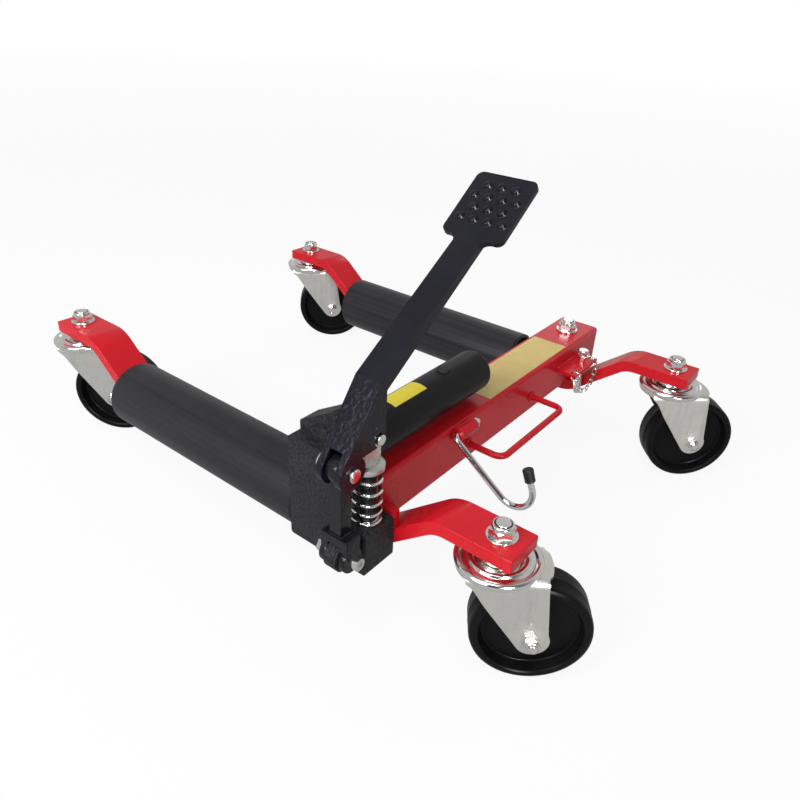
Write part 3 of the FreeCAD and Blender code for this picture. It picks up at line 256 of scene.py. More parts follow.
# %% Lamps
MIDDLE = (0, 0, 0.1)
LAMPS = {
    "key_lamp": {"place": (-1.0, -0.4, 2.1), "size": 1.1, "power": 14.5},
    "side_lamp": {"place": (-2.0, 0.1, 1.3), "size": 1.2, "power": 30},
    "rim_lamp": {"place": (2.1, 0.8, 1.15), "size": 0.7, "power": 1},
    "edge_lamp": {"place": (-1.17, -1.75, 0.78), "size": 0.6, "power": 42, "diffuse": False},
}


def soft_lamp(name, place, size, power, diffuse=True):
    """A round lamp that looks at the middle of the object."""
    lamp = bpy.data.lights.new(name, "AREA")
    lamp.shape = "DISK"
    lamp.size = size
    lamp.energy = power
    lamp_object = new_object(name, lamp)
    lamp_object.visible_diffuse = diffuse
    aim = (Vector(MIDDLE) - Vector(place)).to_track_quat("-Z", "Y")
    lamp_object.matrix_world = Matrix.Translation(place) @ aim.to_matrix().to_4x4()


for lamp_name, lamp_values in LAMPS.items():
    soft_lamp(lamp_name, **lamp_values)
print(len(LAMPS), "lamps")

# %% [markdown]
# Several finishes share an effect. Paint has a fine orange peel and faint patches, castings have lumps
# and grain, zinc has a cloudy spangle, and every edge is rubbed a little. The nodes could be copied into
# every material, but then a change would have to be made in each, so an effect is a node group that is
# built once. It puts out heights and masks only, and each material then decides what to do with them.

# %% Effect helpers
effects = {}


def effect(name, inputs, outputs):
    tree = bpy.data.node_groups.new(name, "ShaderNodeTree")
    tree.interface.new_socket("Vector", in_out="INPUT", socket_type="NodeSocketVector")
    for label, value in inputs.items():
        socket = tree.interface.new_socket(label, in_out="INPUT", socket_type="NodeSocketFloat")
        socket.default_value = value
    for label in outputs:
        tree.interface.new_socket(label, in_out="OUTPUT", socket_type="NodeSocketFloat")
    return tree, tree.nodes.new("NodeGroupInput").outputs, tree.nodes.new("NodeGroupOutput").inputs


def noise(tree, vector, scale, detail=2.0, roughness=0.5):
    node = add(tree, "ShaderNodeTexNoise", {"Vector": vector, "Scale": scale, "Detail": detail,
                                            "Roughness": roughness})
    return node.outputs[0]


print("effect helpers ready")

# %% Paint film and cast skin


def paint_film():
    tree, given, out = effect("paint_film", {"Peel Scale": 700.0, "Patch Scale": 14.0}, ["Height", "Patch"])
    peel = noise(tree, given["Vector"], given["Peel Scale"], detail=1.0)
    patch = noise(tree, given["Vector"], given["Patch Scale"], detail=3.0, roughness=0.6)
    tree.links.new(peel, out["Height"])
    tree.links.new(ranged(tree, patch, 0.3, 0.7), out["Patch"])
    return tree


def cast_skin():
    tree, given, out = effect("cast_skin", {"Lump Scale": 260.0, "Grain Scale": 1500.0, "Grain Share": 0.35},
                              ["Height"])
    lumps = noise(tree, given["Vector"], given["Lump Scale"], detail=3.0, roughness=0.55)
    grain = noise(tree, given["Vector"], given["Grain Scale"])
    share = math_node(tree, "MULTIPLY", grain, given["Grain Share"])
    tree.links.new(math_node(tree, "ADD", lumps, share), out["Height"])
    return tree


effects["paint_film"] = paint_film()
effects["cast_skin"] = cast_skin()
print("effects:", ", ".join(effects))

# %% Zinc spangle
STREAK_SCALE = (160.0, 160.0, 14.0)


def zinc_spangle():
    tree, given, out = effect("zinc_spangle", {"Cell Scale": 130.0, "Cloud Scale": 55.0},
                              ["Cell", "Cloud", "Streak"])
    cells = add(tree, "ShaderNodeTexVoronoi", {"Vector": given["Vector"], "Scale": given["Cell Scale"]},
                feature="SMOOTH_F1")
    cloud = noise(tree, given["Vector"], given["Cloud Scale"], detail=4.0, roughness=0.62)
    stretched = add(tree, "ShaderNodeMapping", {"Vector": given["Vector"], "Scale": STREAK_SCALE})
    streak = noise(tree, stretched.outputs[0], 1.0, detail=3.0, roughness=0.6)
    tone = add(tree, "ShaderNodeSeparateColor", {0: cells.outputs["Color"]})
    tree.links.new(tone.outputs[0], out["Cell"])
    tree.links.new(ranged(tree, cloud, 0.32, 0.68), out["Cloud"])
    tree.links.new(ranged(tree, streak, 0.3, 0.7), out["Streak"])
    return tree


effects["zinc_spangle"] = zinc_spangle()
print("effects:", ", ".join(effects))

# %% Rubbed edges and dust
DUST_FILM_SCALE = 28.0
WEAR_START = 0.85
WEAR_SOFTNESS = 0.12


def rubbed_edge():
    tree, given, out = effect("rubbed_edge", {"Edge": 0.0, "Patch Scale": 120.0, "Amount": 0.5}, ["Mask"])
    patch = noise(tree, given["Vector"], given["Patch Scale"], detail=4.0, roughness=0.6)
    start = math_node(tree, "SUBTRACT", WEAR_START, math_node(tree, "MULTIPLY", given["Amount"], 0.5))
    worn = ranged(tree, patch, start, math_node(tree, "ADD", start, WEAR_SOFTNESS))
    tree.links.new(math_node(tree, "MULTIPLY", worn, given["Edge"]), out["Mask"])
    return tree


def light_dust():
    tree, given, out = effect("light_dust", {"Facing": 0.0, "Speck Scale": 420.0, "Amount": 0.02}, ["Mask"])
    film = noise(tree, given["Vector"], DUST_FILM_SCALE, detail=5.0, roughness=0.65)
    specks = noise(tree, given["Vector"], given["Speck Scale"])
    thin = ranged(tree, film, 0.35, 0.75)
    speckled = ranged(tree, specks, 0.35, 0.7, 0.4, 1.0)
    cover = math_node(tree, "MULTIPLY", thin, speckled)
    up = ranged(tree, given["Facing"], 0.2, 0.95)
    settled = math_node(tree, "MULTIPLY", cover, up)
    tree.links.new(math_node(tree, "MULTIPLY", settled, given["Amount"]), out["Mask"])
    return tree


effects["rubbed_edge"] = rubbed_edge()
effects["light_dust"] = light_dust()
print("effects:", ", ".join(effects))

# %% [markdown]
# A finish starts from a Principled shader, the object's own coordinates, and two masks that most finishes
# need: the rubbed edge, which reads an attribute that we store on rounded edges later, and a breath of
# dust on faces that look up. Plain numbers such as the IOR are typed straight into the shader, because an
# export loses them when they come through a link.

# %% Start of a finish
finishes = {}


class Finish:
    """A new material with its tree, its shader and the effects placed in it."""

    def __init__(self, name, **shader_values):
        self.material = bpy.data.materials.new(name)
        self.material.use_nodes = True
        self.tree = self.material.node_tree
        self.shader = self.tree.nodes["Principled BSDF"]
        for label, value in shader_values.items():
            self.shader.inputs[label.replace("_", " ")].default_value = value
        self.spot = add(self.tree, "ShaderNodeTexCoord").outputs["Object"]

    def effect(self, name, **values):
        sockets = {"Vector": self.spot}
        sockets.update({label.replace("_", " "): value for label, value in values.items()})
        return add(self.tree, "ShaderNodeGroup", sockets, node_tree=effects[name]).outputs

    def edge_mask(self, amount):
        edge = add(self.tree, "ShaderNodeAttribute", attribute_name="edge").outputs["Fac"]
        return self.effect("rubbed_edge", Edge=edge, Amount=amount)["Mask"]

    def dust_mask(self, amount):
        normal = add(self.tree, "ShaderNodeNewGeometry").outputs["Normal"]
        up = add(self.tree, "ShaderNodeSeparateXYZ", {0: normal}).outputs["Z"]
        return self.effect("light_dust", Facing=up, Amount=amount)["Mask"]

    def stretched(self, scale):
        """Noise that is drawn out by a different scale on each axis."""
        mapping = add(self.tree, "ShaderNodeMapping", {"Vector": self.spot, "Scale": scale})
        return noise(self.tree, mapping.outputs[0], 1.0, detail=5.0, roughness=0.6)

    def height_mask(self, low, high):
        """Zero below one height of the object and one above another."""
        height = add(self.tree, "ShaderNodeSeparateXYZ", {0: self.spot}).outputs["Z"]
        return ranged(self.tree, height, low, high)

    def set(self, label, socket):
        self.tree.links.new(socket, self.shader.inputs[label])

    def bump(self, height, depth, under=None):
        sockets = {"Height": height, "Distance": depth, "Strength": 1.0}
        if under:
            sockets["Normal"] = under
        node = add(self.tree, "ShaderNodeBump", sockets)
        return node.outputs[0]


print("finish class ready")

# %% [markdown]
# Red enamel: a wet, glossy coat over steel. Patches move the red by a few percent, edges show the
# thinner, darker film, and a fine orange peel breaks the reflections. One even red under a clear coat
# would look like plastic, so the unevenness does the work.

# %% Red enamel
RED = (0.66, 0.009, 0.02, 1)
RED_DEEP = (0.58, 0.006, 0.014, 1)
RED_THIN = (0.34, 0.006, 0.01, 1)
DUST = (0.5, 0.46, 0.42, 1)
DUST_SHARE = 0.015
RED_ROUGH = (0.2, 0.3)
RED_PEEL = 0.00004


def red_enamel():
    finish = Finish("red_enamel", IOR=1.5, Specular_IOR_Level=0.28)
    tree = finish.tree
    film = finish.effect("paint_film", Peel_Scale=520.0, Patch_Scale=11.0)
    colour = mixed(tree, film["Patch"], RED, RED_DEEP)
    colour = mixed(tree, finish.edge_mask(0.5), colour, RED_THIN)
    finish.set("Base Color", mixed(tree, finish.dust_mask(DUST_SHARE), colour, DUST))
    finish.set("Roughness", ranged(tree, film["Patch"], 0, 1, *RED_ROUGH))
    finish.set("Normal", finish.bump(film["Height"], RED_PEEL))
    return finish.material


finishes["red_paint"] = red_enamel()
print("finishes:", ", ".join(finishes))

# %% [markdown]
# Black enamel covers the castings, which are the pump block, the lever and the link, and a satin one
# covers the tank. The paint follows every lump of the sand mould. On the block that is a fine grain all
# over. The lever's shank and pad are ground smooth before painting, so its lumps fade out above the heel.
# The lumps are finer than the mesh, so they are bump and not displaced geometry. One function makes all
# four, and a table says how they differ.

# %% Black enamels
BLACK_COATS = {
    "black_enamel": {"name": "cast_black", "colour": (0.037, 0.036, 0.042, 1), "gloss": 0.36, "shine": 0.13,
                     "lump_depth": 0.0011, "lump_scale": 520.0, "grain_share": 0.5},
    "lever_black": {"name": "lever_black", "colour": (0.0055, 0.0055, 0.0105, 1), "gloss": 0.17,
                    "shine": 0.3, "lump_depth": 0.0005, "lump_scale": 260.0, "grain_share": 0.03,
                    "smooth_above": 0.262},
    "link_black": {"name": "link_black", "colour": (0.006, 0.006, 0.008, 1), "gloss": 0.12, "shine": 0.4,
                   "lump_depth": 0.0002, "lump_scale": 200.0, "grain_share": 0.03},
    "tank_black": {"name": "tank_satin", "colour": (0.011, 0.011, 0.013, 1), "gloss": 0.3, "shine": 0.14,
                   "lump_depth": 0.00005, "lump_scale": 500.0, "grain_share": 0.3},
}
BLACK_PIT = (0, 0, 0, 1)
BLACK_WORN = (0.04, 0.039, 0.039, 1)
PATCH_GAIN = 1.4
PIT_RANGE = (0.6, 0.9)
PIT_GAIN = 1.6
ROUGH_SPREAD = 0.1
FADE_HEIGHT = 0.02
LUMPS_LEFT = 0.06


def black_enamel(name, colour, gloss, shine, lump_depth, lump_scale, grain_share, smooth_above=None):
    finish = Finish(name, IOR=1.5, Specular_IOR_Level=shine)
    tree = finish.tree
    film = finish.effect("paint_film", Peel_Scale=900.0, Patch_Scale=24.0)
    skin = finish.effect("cast_skin", Lump_Scale=lump_scale, Grain_Share=grain_share)
    pale = tuple(PATCH_GAIN * part for part in colour[:3]) + (1,)
    tint = mixed(tree, film["Patch"], colour, pale)
    pits = ranged(tree, skin["Height"], *PIT_RANGE, 0.0, min(1.0, PIT_GAIN * grain_share))
    tint = mixed(tree, pits, tint, BLACK_PIT)
    tint = mixed(tree, finish.edge_mask(0.3), tint, BLACK_WORN)
    finish.set("Base Color", mixed(tree, finish.dust_mask(DUST_SHARE), tint, DUST))
    finish.set("Roughness", ranged(tree, film["Patch"], 0, 1, gloss, gloss + ROUGH_SPREAD))
    lumps = skin["Height"]
    if smooth_above:
        ground = finish.height_mask(smooth_above - FADE_HEIGHT, smooth_above)
        rough = math_node(tree, "SUBTRACT", 1.0, ground)
        lumps = math_node(tree, "MULTIPLY", lumps, ranged(tree, rough, 0, 1, LUMPS_LEFT, 1.0))
    finish.set("Normal", finish.bump(lumps, lump_depth))
    return finish.material


for finish_name, values in BLACK_COATS.items():
    finishes[finish_name] = black_enamel(**values)
print("finishes:", ", ".join(finishes))

# %% [markdown]
# The roller tubes wear a dark satin coat over drawn steel. Drawing leaves soft bands that run the whole
# length, so the noise is long along the roller and short around it. A wave texture would be too regular
# for that.

# %% Roller coat
ROLLER_DARK = (0.014, 0.014, 0.0175, 1)
ROLLER_PALE = (0.026, 0.0255, 0.031, 1)
ROLLER_ROUGH = (0.3, 0.42)
BAND_SCALE = (190.0, 0.9, 190.0)
BAND_DEPTH = 0.00016
ROLLER_PEEL = 0.00003


def roller_coat():
    finish = Finish("roller_coat", IOR=1.5, Specular_IOR_Level=0.28)
    tree = finish.tree
    film = finish.effect("paint_film", Peel_Scale=850.0, Patch_Scale=9.0)
    bands = ranged(tree, finish.stretched(BAND_SCALE), 0.32, 0.68)
    colour = mixed(tree, bands, ROLLER_DARK, ROLLER_PALE)
    finish.set("Base Color", mixed(tree, finish.dust_mask(DUST_SHARE), colour, DUST))
    finish.set("Roughness", ranged(tree, bands, 0, 1, *ROLLER_ROUGH))
    peel = finish.bump(film["Height"], ROLLER_PEEL)
    finish.set("Normal", finish.bump(bands, BAND_DEPTH, peel))
    return finish.material


finishes["roller_black"] = roller_coat()
print("finishes:", ", ".join(finishes))

# %% [markdown]
# Bright zinc on pressed sheet is cloudy: the plating grows in cells, some bluish and some faintly yellow,
# and the sheet under it is not quite flat. Bolts get the same plating with less cloud and a smoother
# skin. One even roughness would make both look like chrome.

# %% Zinc
ZINC = (0.9, 0.9, 0.89, 1)
ZINC_WARM = (0.78, 0.76, 0.68, 1)
ZINC_DULL = (0.52, 0.51, 0.46, 1)
ZINC_COATS = {
    "zinc_plate": {"name": "bright_zinc", "cloud_share": 0.35, "smooth": 0.12, "rough": 0.26,
                   "wave_depth": 0.00004},
    "pressed_zinc": {"name": "pressed_zinc", "cloud_share": 1.0, "smooth": 0.24, "rough": 0.42,
                     "wave_depth": 0.00016},
}
DULL_SHARE = 0.3
CELL_SHARE = 0.25
STREAK_SHARE = 0.2


def zinc(name, cloud_share, smooth, rough, wave_depth):
    finish = Finish(name, Metallic=1.0)
    tree = finish.tree
    spangle = finish.effect("zinc_spangle")
    cloud = math_node(tree, "MULTIPLY", spangle["Cloud"], cloud_share)
    colour = mixed(tree, cloud, ZINC, ZINC_WARM)
    dull = math_node(tree, "MULTIPLY", ranged(tree, spangle["Streak"], 0.55, 1.0), cloud_share * DULL_SHARE)
    colour = mixed(tree, dull, colour, ZINC_DULL)
    finish.set("Base Color", mixed(tree, finish.dust_mask(DUST_SHARE), colour, DUST))
    blotch = math_node(tree, "ADD", cloud, math_node(tree, "MULTIPLY", spangle["Cell"], CELL_SHARE))
    finish.set("Roughness", ranged(tree, blotch, 0.0, 1.2, smooth, rough))
    waves = finish.bump(spangle["Cloud"], wave_depth)
    finish.set("Normal", finish.bump(spangle["Streak"], wave_depth * STREAK_SHARE, waves))
    return finish.material


for finish_name, values in ZINC_COATS.items():
    finishes[finish_name] = zinc(**values)
print("finishes:", ", ".join(finishes))

# %% [markdown]
# The hook and the return spring are bright as chrome, and the axles inside the rollers are bare steel
# with a film of oil. Both could be a metal with one roughness, but faint waves and patches break the
# reflection as on real plating. Chrome takes them from the paint film and steel from the spangle with
# finer cells, so no new effect is needed.

# %% Chrome and oiled steel
CHROME = ((0.92, 0.92, 0.93, 1), (0.84, 0.84, 0.85, 1))
CHROME_ROUGH = (0.08, 0.16)
CHROME_WAVE = 0.00002
STEEL = ((0.8, 0.8, 0.79, 1), (0.66, 0.65, 0.63, 1))
STEEL_ROUGH = (0.2, 0.34)
STEEL_WAVE = 0.00003


def chrome_plate():
    finish = Finish("chrome_plate", Metallic=1.0)
    tree = finish.tree
    film = finish.effect("paint_film", Peel_Scale=260.0, Patch_Scale=70.0)
    finish.set("Base Color", mixed(tree, film["Patch"], *CHROME))
    finish.set("Roughness", ranged(tree, film["Patch"], 0, 1, *CHROME_ROUGH))
    finish.set("Normal", finish.bump(film["Height"], CHROME_WAVE))
    return finish.material


def oiled_steel():
    finish = Finish("oiled_steel", Metallic=1.0)
    tree = finish.tree
    spangle = finish.effect("zinc_spangle", Cell_Scale=300.0, Cloud_Scale=90.0)
    finish.set("Base Color", mixed(tree, spangle["Cloud"], *STEEL))
    finish.set("Roughness", ranged(tree, spangle["Streak"], 0, 1, *STEEL_ROUGH))
    finish.set("Normal", finish.bump(spangle["Streak"], STEEL_WAVE))
    return finish.material


finishes["chrome_plate"] = chrome_plate()
finishes["bare_steel"] = oiled_steel()
print("finishes:", ", ".join(finishes))

# %% [markdown]
# The plunger is one turned piece. Its rod is near-black below the collar, where it stands inside the spring, and
# bright steel above it, so the colour changes at the height of the collar. Two pieces with a finish each would do,
# but a mask on the height keeps the piece whole.

# %% Plunger steel
COLLAR_FLOOR = 0.1722
COLLAR_EDGE = 0.0006
ROD_BLACK_BELOW_COLLAR = (0.008, 0.008, 0.008, 1)
TURNED_STEEL = ((0.74, 0.74, 0.71, 1), (0.56, 0.55, 0.51, 1))
TURNED_ROUGH = (0.24, 0.4)
TURNED_WAVE = 0.00006


def plunger_steel():
    finish = Finish("plunger_steel")
    tree = finish.tree
    spangle = finish.effect("zinc_spangle", Cell_Scale=260.0, Cloud_Scale=120.0)
    above_collar = finish.height_mask(COLLAR_FLOOR - COLLAR_EDGE, COLLAR_FLOOR)
    steel = mixed(tree, spangle["Cloud"], *TURNED_STEEL)
    # Near-black below the collar, where the rod stands inside the spring, and bright steel above it.
    finish.set("Base Color", mixed(tree, above_collar, ROD_BLACK_BELOW_COLLAR, steel))
    finish.set("Metallic", above_collar)
    finish.set("Roughness", ranged(tree, spangle["Cloud"], 0, 1, *TURNED_ROUGH))
    finish.set("Normal", finish.bump(spangle["Cloud"], TURNED_WAVE))
    return finish.material


finishes["plunger_steel"] = plunger_steel()
print("finishes:", ", ".join(finishes))

# %% [markdown]
# Moulded wheels, nylon and rubber are blacks that differ in sheen: the wheel is a hard glossy plastic
# with a faint moulding grain, nylon is paler and bluer, and rubber is matt. The stickers are plain film.

# %% Plastics and rubber
MOULDED = {
    "wheel_plastic": {"name": "wheel_plastic", "colour": (0.004, 0.004, 0.005, 1),
                      "pale": (0.006, 0.006, 0.007, 1), "rough": 0.26,
                      "grain_depth": 0.00002, "grain_scale": 1100.0, "shine": 0.12},
    "bush_plastic": {"name": "nylon", "colour": (0.012, 0.013, 0.02, 1),
                     "pale": (0.02, 0.021, 0.028, 1), "rough": 0.35,
                     "grain_depth": 0.00003, "grain_scale": 700.0, "shine": 0.4},
    "black_rubber": {"name": "soft_rubber", "colour": (0.009, 0.009, 0.009, 1),
                     "pale": (0.014, 0.014, 0.014, 1), "rough": 0.45,
                     "grain_depth": 0.00006, "grain_scale": 1600.0, "shine": 0.35},
}


def moulded(name, colour, pale, rough, grain_depth, grain_scale, shine):
    finish = Finish(name, IOR=1.5, Specular_IOR_Level=shine)
    tree = finish.tree
    film = finish.effect("paint_film", Peel_Scale=grain_scale, Patch_Scale=22.0)
    tint = mixed(tree, film["Patch"], colour, pale)
    finish.set("Base Color", mixed(tree, finish.dust_mask(DUST_SHARE), tint, DUST))
    finish.set("Roughness", ranged(tree, film["Patch"], 0, 1, rough, rough + ROUGH_SPREAD))
    finish.set("Normal", finish.bump(film["Height"], grain_depth))
    return finish.material


for finish_name, values in MOULDED.items():
    finishes[finish_name] = moulded(**values)
print("finishes:", ", ".join(finishes))

# %% Sticker film
FILMS = {
    "sand_sticker": {"colour": (0.72, 0.55, 0.2, 1), "shade": (0.68, 0.51, 0.18, 1)},
    "yellow_sticker": {"colour": (0.78, 0.65, 0.05, 1), "shade": (0.73, 0.6, 0.04, 1)},
}
FILM_ROUGH = (0.38, 0.5)
FILM_WAVE = 0.00003


def sticker_film(name, colour, shade):
    finish = Finish(name, IOR=1.45, Specular_IOR_Level=0.4)
    tree = finish.tree
    film = finish.effect("paint_film", Peel_Scale=380.0, Patch_Scale=60.0)
    finish.set("Base Color", mixed(tree, film["Patch"], colour, shade))
    finish.set("Roughness", ranged(tree, film["Patch"], 0, 1, *FILM_ROUGH))
    finish.set("Normal", finish.bump(film["Height"], FILM_WAVE))
    return finish.material


for finish_name, values in FILMS.items():
    finishes[finish_name] = sticker_film(finish_name, **values)
slot_for = {"sand_sticker": "red_paint", "yellow_sticker": "tank_black", "pressed_zinc": "zinc_plate"}
print(len(finishes), "finishes")

# %% [markdown]
# Real edges are never knife sharp. The solids have crisp corners, so the pieces that show get a copy
# whose edges are rounded with a Bevel modifier. The Bevel shader node would be quicker, but it only bends
# the light and leaves the mesh sharp. The copy is merged first, because an imported solid is loose
# triangles, and flat triangles are dissolved into whole faces. The strips that the bevel adds are marked
# with the edge attribute that the finishes read.

# %% Pieces and meshes
SAME_POINT = 0.000002
FLAT_ANGLE = math.radians(0.4)


def set_piece(name, mesh, body, finish, *stands_for):
    """Make an object of a finished mesh, give it its finish and let it ride on its body."""
    piece = new_object(name, mesh)
    mesh.materials.clear()
    mesh.materials.append(finishes[finish])
    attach(piece, body)
    slot_of[stands_for[0]] if stands_for else slot_for.get(finish, finish)
    if stands_for:
        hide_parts(*stands_for)
    return piece


def evaluated_mesh(holder, name):
    """The holder's mesh with its modifiers applied, and the holder taken away."""
    bpy.context.view_layer.update()
    graph = bpy.context.evaluated_depsgraph_get()
    mesh = bpy.data.meshes.new_from_object(holder.evaluated_get(graph))
    mesh.name = name
    bpy.data.objects.remove(holder)
    return mesh


def shade(mesh, sharp=38):
    mesh.shade_smooth()
    mesh.set_sharp_from_angle(angle=math.radians(sharp))
    return mesh


def as_mesh(form, name):
    """Hand a bmesh over as a mesh."""
    mesh = bpy.data.meshes.new(name)
    form.to_mesh(mesh)
    form.free()
    return mesh


def finished(form, name):
    """Turn the faces of a bmesh outwards and hand it over as a mesh."""
    bmesh.ops.recalc_face_normals(form, faces=form.faces)
    return as_mesh(form, name)


def merge_points(form):
    bmesh.ops.remove_doubles(form, verts=form.verts, dist=SAME_POINT)


def join_flats(form):
    bmesh.ops.dissolve_limit(form, angle_limit=FLAT_ANGLE, verts=form.verts, edges=form.edges)


def welded(node):
    """A merged copy of a solid."""
    form = bmesh.new()
    form.from_mesh(nodes[node].data)
    merge_points(form)
    return form


print("piece helpers ready")

# %% Rounding
IN_LINE = 0.8
ROOM_SHARE = 0.45
EDGE_SHARP = math.radians(28)


def weigh_edges(form, width):
    """Give each sharp edge the share of the width that its short neighbours leave room for."""
    weight = form.edges.layers.float.new("bevel_weight_edge")
    for edge in form.edges:
        if len(edge.link_faces) != 2 or edge.calc_face_angle() < EDGE_SHARP:
            continue
        room = width
        for vert in edge.verts:
            way = (edge.other_vert(vert).co - vert.co).normalized()
            for other in vert.link_edges:
                beside = other.other_vert(vert).co - vert.co
                if other is not edge and abs(way.dot(beside.normalized())) < IN_LINE:
                    room = min(room, ROOM_SHARE * beside.length)
        edge[weight] = room / width


def round_edges(form, name, width, steps=3):
    weigh_edges(form, width)
    holder = new_object(name, as_mesh(form, name))
    for _ in ("faces", "strips"):
        holder.data.materials.append(finishes["bare_steel"])
    bevel = holder.modifiers.new("round", "BEVEL")
    bevel.width = width
    bevel.segments = steps
    bevel.limit_method = "WEIGHT"
    bevel.miter_outer = "MITER_ARC"
    bevel.harden_normals = True
    bevel.material = 1
    made = evaluated_mesh(holder, name)
    strips = [float(face.material_index == 1) for face in made.polygons]
    made.attributes.new("edge", "FLOAT", "FACE").data.foreach_set("value", strips)
    for face in made.polygons:
        face.material_index = 0
    return made


def soften(node, width, finish=None):
    """Stand a rounded copy in for a solid."""
    form = welded(node)
    join_flats(form)
    mesh = round_edges(form, node + "_rounded", width)
    return set_piece(mesh.name, mesh, body_of[node], finish or slot_of[node], node)


print("rounding ready")

# %% Rounded copies
ROUNDED = {
    "arm_a_front": 1.2, "arm_a_rear": 1.2, "arm_b_front": 1.2, "arm_b_rear": 1.2,
    "end_plate": 0.8, "pin_bracket": 0.6, "hook_lug": 0.6, "pump_block": 2.4,
    "lever_pin": 0.6, "plunger_pin": 0.6, "plunger_gland": 0.5, "release_valve": 0.4,
    "tank_plug": 0.4, "pivot_bolt": 0.6, "kingpin_bolts_a": 0.6, "kingpin_bolts_b": 0.6, "beam_tube": 0.5,
    "swivel_races_a": 0.5, "swivel_races_b": 0.5,
}
for node, width in ROUNDED.items():
    piece = soften(node, width * MM)
    print(piece.name, len(piece.data.polygons), "faces")
soften("plunger", 0.8 * MM, "plunger_steel")
soften("link", 1.2 * MM, "link_black")
print("plunger and link rounded")

# %% [markdown]
# Wheels, rollers, the tank and the caster dishes are turned shapes. Their outlines are written as corners
# with a fillet each, in millimetres: the first helper replaces each corner with an arc, and the lathe
# spins the outline about an axis. A point on the axis becomes a single vertex, so poles are closed. A
# Screw modifier could spin them as well, but the nuts need a section that changes with the angle, so we
# write our own.

# %% Rounded outlines
ARC_STEP = math.radians(13)
OPEN_SHARE = 0.95
CLOSED_SHARE = 0.48


def rounded_path(corners, radii, closed=False):
    """Points of a line whose corners are rounded with arcs, in two or three dimensions."""
    points = []
    count = len(corners)
    for place, (here, radius) in enumerate(zip(corners, radii)):
        if not radius or (not closed and place in (0, count - 1)):
            points.append(here)
            continue
        back = corners[place - 1] - here
        ahead = corners[(place + 1) % count] - here
        half = back.angle(ahead) / 2
        most = CLOSED_SHARE if closed else OPEN_SHARE
        reach = min(radius / math.tan(half), most * back.length, most * ahead.length)
        middle = here + (back.normalized() + ahead.normalized()).normalized() * (reach / math.cos(half))
        first = here + back.normalized() * reach - middle
        last = here + ahead.normalized() * reach - middle
        sweep = math.pi - 2 * half
        steps = max(2, math.ceil(sweep / ARC_STEP))
        for step in range(steps + 1):
            turn = sweep * step / steps
            spoke = (first * math.sin(sweep - turn) + last * math.sin(turn)) / math.sin(sweep)
            points.append(middle + spoke)
    return points


print("outlines in steps of", round(math.degrees(ARC_STEP)), "degrees")

# %% Lathe
ON_AXIS = 1e-6


def placed(mesh, place, axis):
    """Stand a mesh that was made about Z on a place, along an axis."""
    turn = UP.rotation_difference(Vector(axis)).to_matrix().to_4x4()
    mesh.transform(Matrix.Translation(place) @ turn)
    return mesh


def spun(name, section, steps):
    """Spin a closed section, given as a function of the angle, about Z."""
    form = bmesh.new()
    columns = []
    poles = {}
    for step in range(steps):
        angle = 2 * math.pi * step / steps
        column = []
        for row, (radius, height) in enumerate(section(angle)):
            if radius > ON_AXIS:
                spot = (radius * math.cos(angle) * MM, radius * math.sin(angle) * MM, height * MM)
                column.append(form.verts.new(spot))
            else:
                if row not in poles:
                    poles[row] = form.verts.new((0, 0, height * MM))
                column.append(poles[row])
        columns.append(column)
    for step in range(steps):
        here = columns[step]
        beside = columns[(step + 1) % steps]
        for row in range(len(here)):
            above = (row + 1) % len(here)
            ring = list(dict.fromkeys((here[row], beside[row], beside[above], here[above])))
            if len(ring) > 2:
                form.faces.new(ring)
    return shade(finished(form, name))


def lathe(name, outline, place=(0, 0, 0), axis=(0, 0, 1), steps=96):
    corners = [Vector((radius, height)) for radius, height, _ in outline]
    fillets = [fillet for _, _, fillet in outline]
    points = [tuple(point) for point in rounded_path(corners, fillets, closed=True)]
    return placed(spun(name, lambda angle: points, steps), place, axis)


print("lathe ready")

# %% [markdown]
# Each wheel is one moulding. Its face is deeply dished: a flat rim ring, a steep wall, a flat web and a
# wide hub. A mould leaves a fine parting line round the middle of the tread. The outline is written for
# one half and mirrored, and the wheel's own joint says where its axle is and which way it points.

# %% Wheels
CORNERS = ("a_front", "a_rear", "b_front", "b_rear")
WHEEL_HALF = [
    (4.1, 18.7, 0), (12, 18.7, 0.8), (14, 6, 2.5), (39.8, 6, 1.8), (42.3, 15, 0.6), (43.4, 16, 0.5),
    (46.6, 16, 1.0), (49.2, 14.6, 1.6), (50, 11.5, 3), (50, 0.5, 0), (50.18, 0.2, 0),
]


def mirrored(half):
    return half + [(radius, -height, fillet) for radius, height, fillet in reversed(half)]


for corner in CORNERS:
    spin = joints["wheel_spin_" + corner]
    mesh = lathe("wheel_%s_moulding" % corner, mirrored(WHEEL_HALF), spin["pos_m"], spin["axis"])
    piece = set_piece(mesh.name, mesh, "rolling_" + corner, "wheel_plastic", "wheel_" + corner)
    print(piece.name, len(mesh.polygons), "faces")

# %% [markdown]
# The rollers are cut from steel tube with the ends turned round. The oil tank is a drawn cup with a round
# shoulder. Both are long shapes that catch the light along their whole length, so they get more steps.

# %% Rollers and tank
FINE_STEPS = 128
ROLLER_WALL = 3.5
TANK_SHOULDER = 4.6
for unit in "ab":
    low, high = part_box("roller_" + unit)
    outer = (high[0] - low[0]) / 2 / MM
    inner = outer - ROLLER_WALL
    length = (high[1] - low[1]) / MM
    tube = [(inner, 0, 0.6), (outer, 0, 1.8), (outer, length, 1.8), (inner, length, 0.6)]
    start = ((low[0] + high[0]) / 2, low[1], (low[2] + high[2]) / 2)
    mesh = lathe("roller_%s_tube" % unit, tube, start, (0, 1, 0), FINE_STEPS)
    set_piece(mesh.name, mesh, "roller_unit_" + unit, "roller_black", "roller_" + unit)
low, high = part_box("oil_tank")
TANK_RADIUS = (high[2] - low[2]) / 2
TANK_MIDDLE = Vector((low[0], (low[1] + high[1]) / 2, (low[2] + high[2]) / 2))
tank_wide = TANK_RADIUS / MM
tank_long = (high[0] - low[0]) / MM
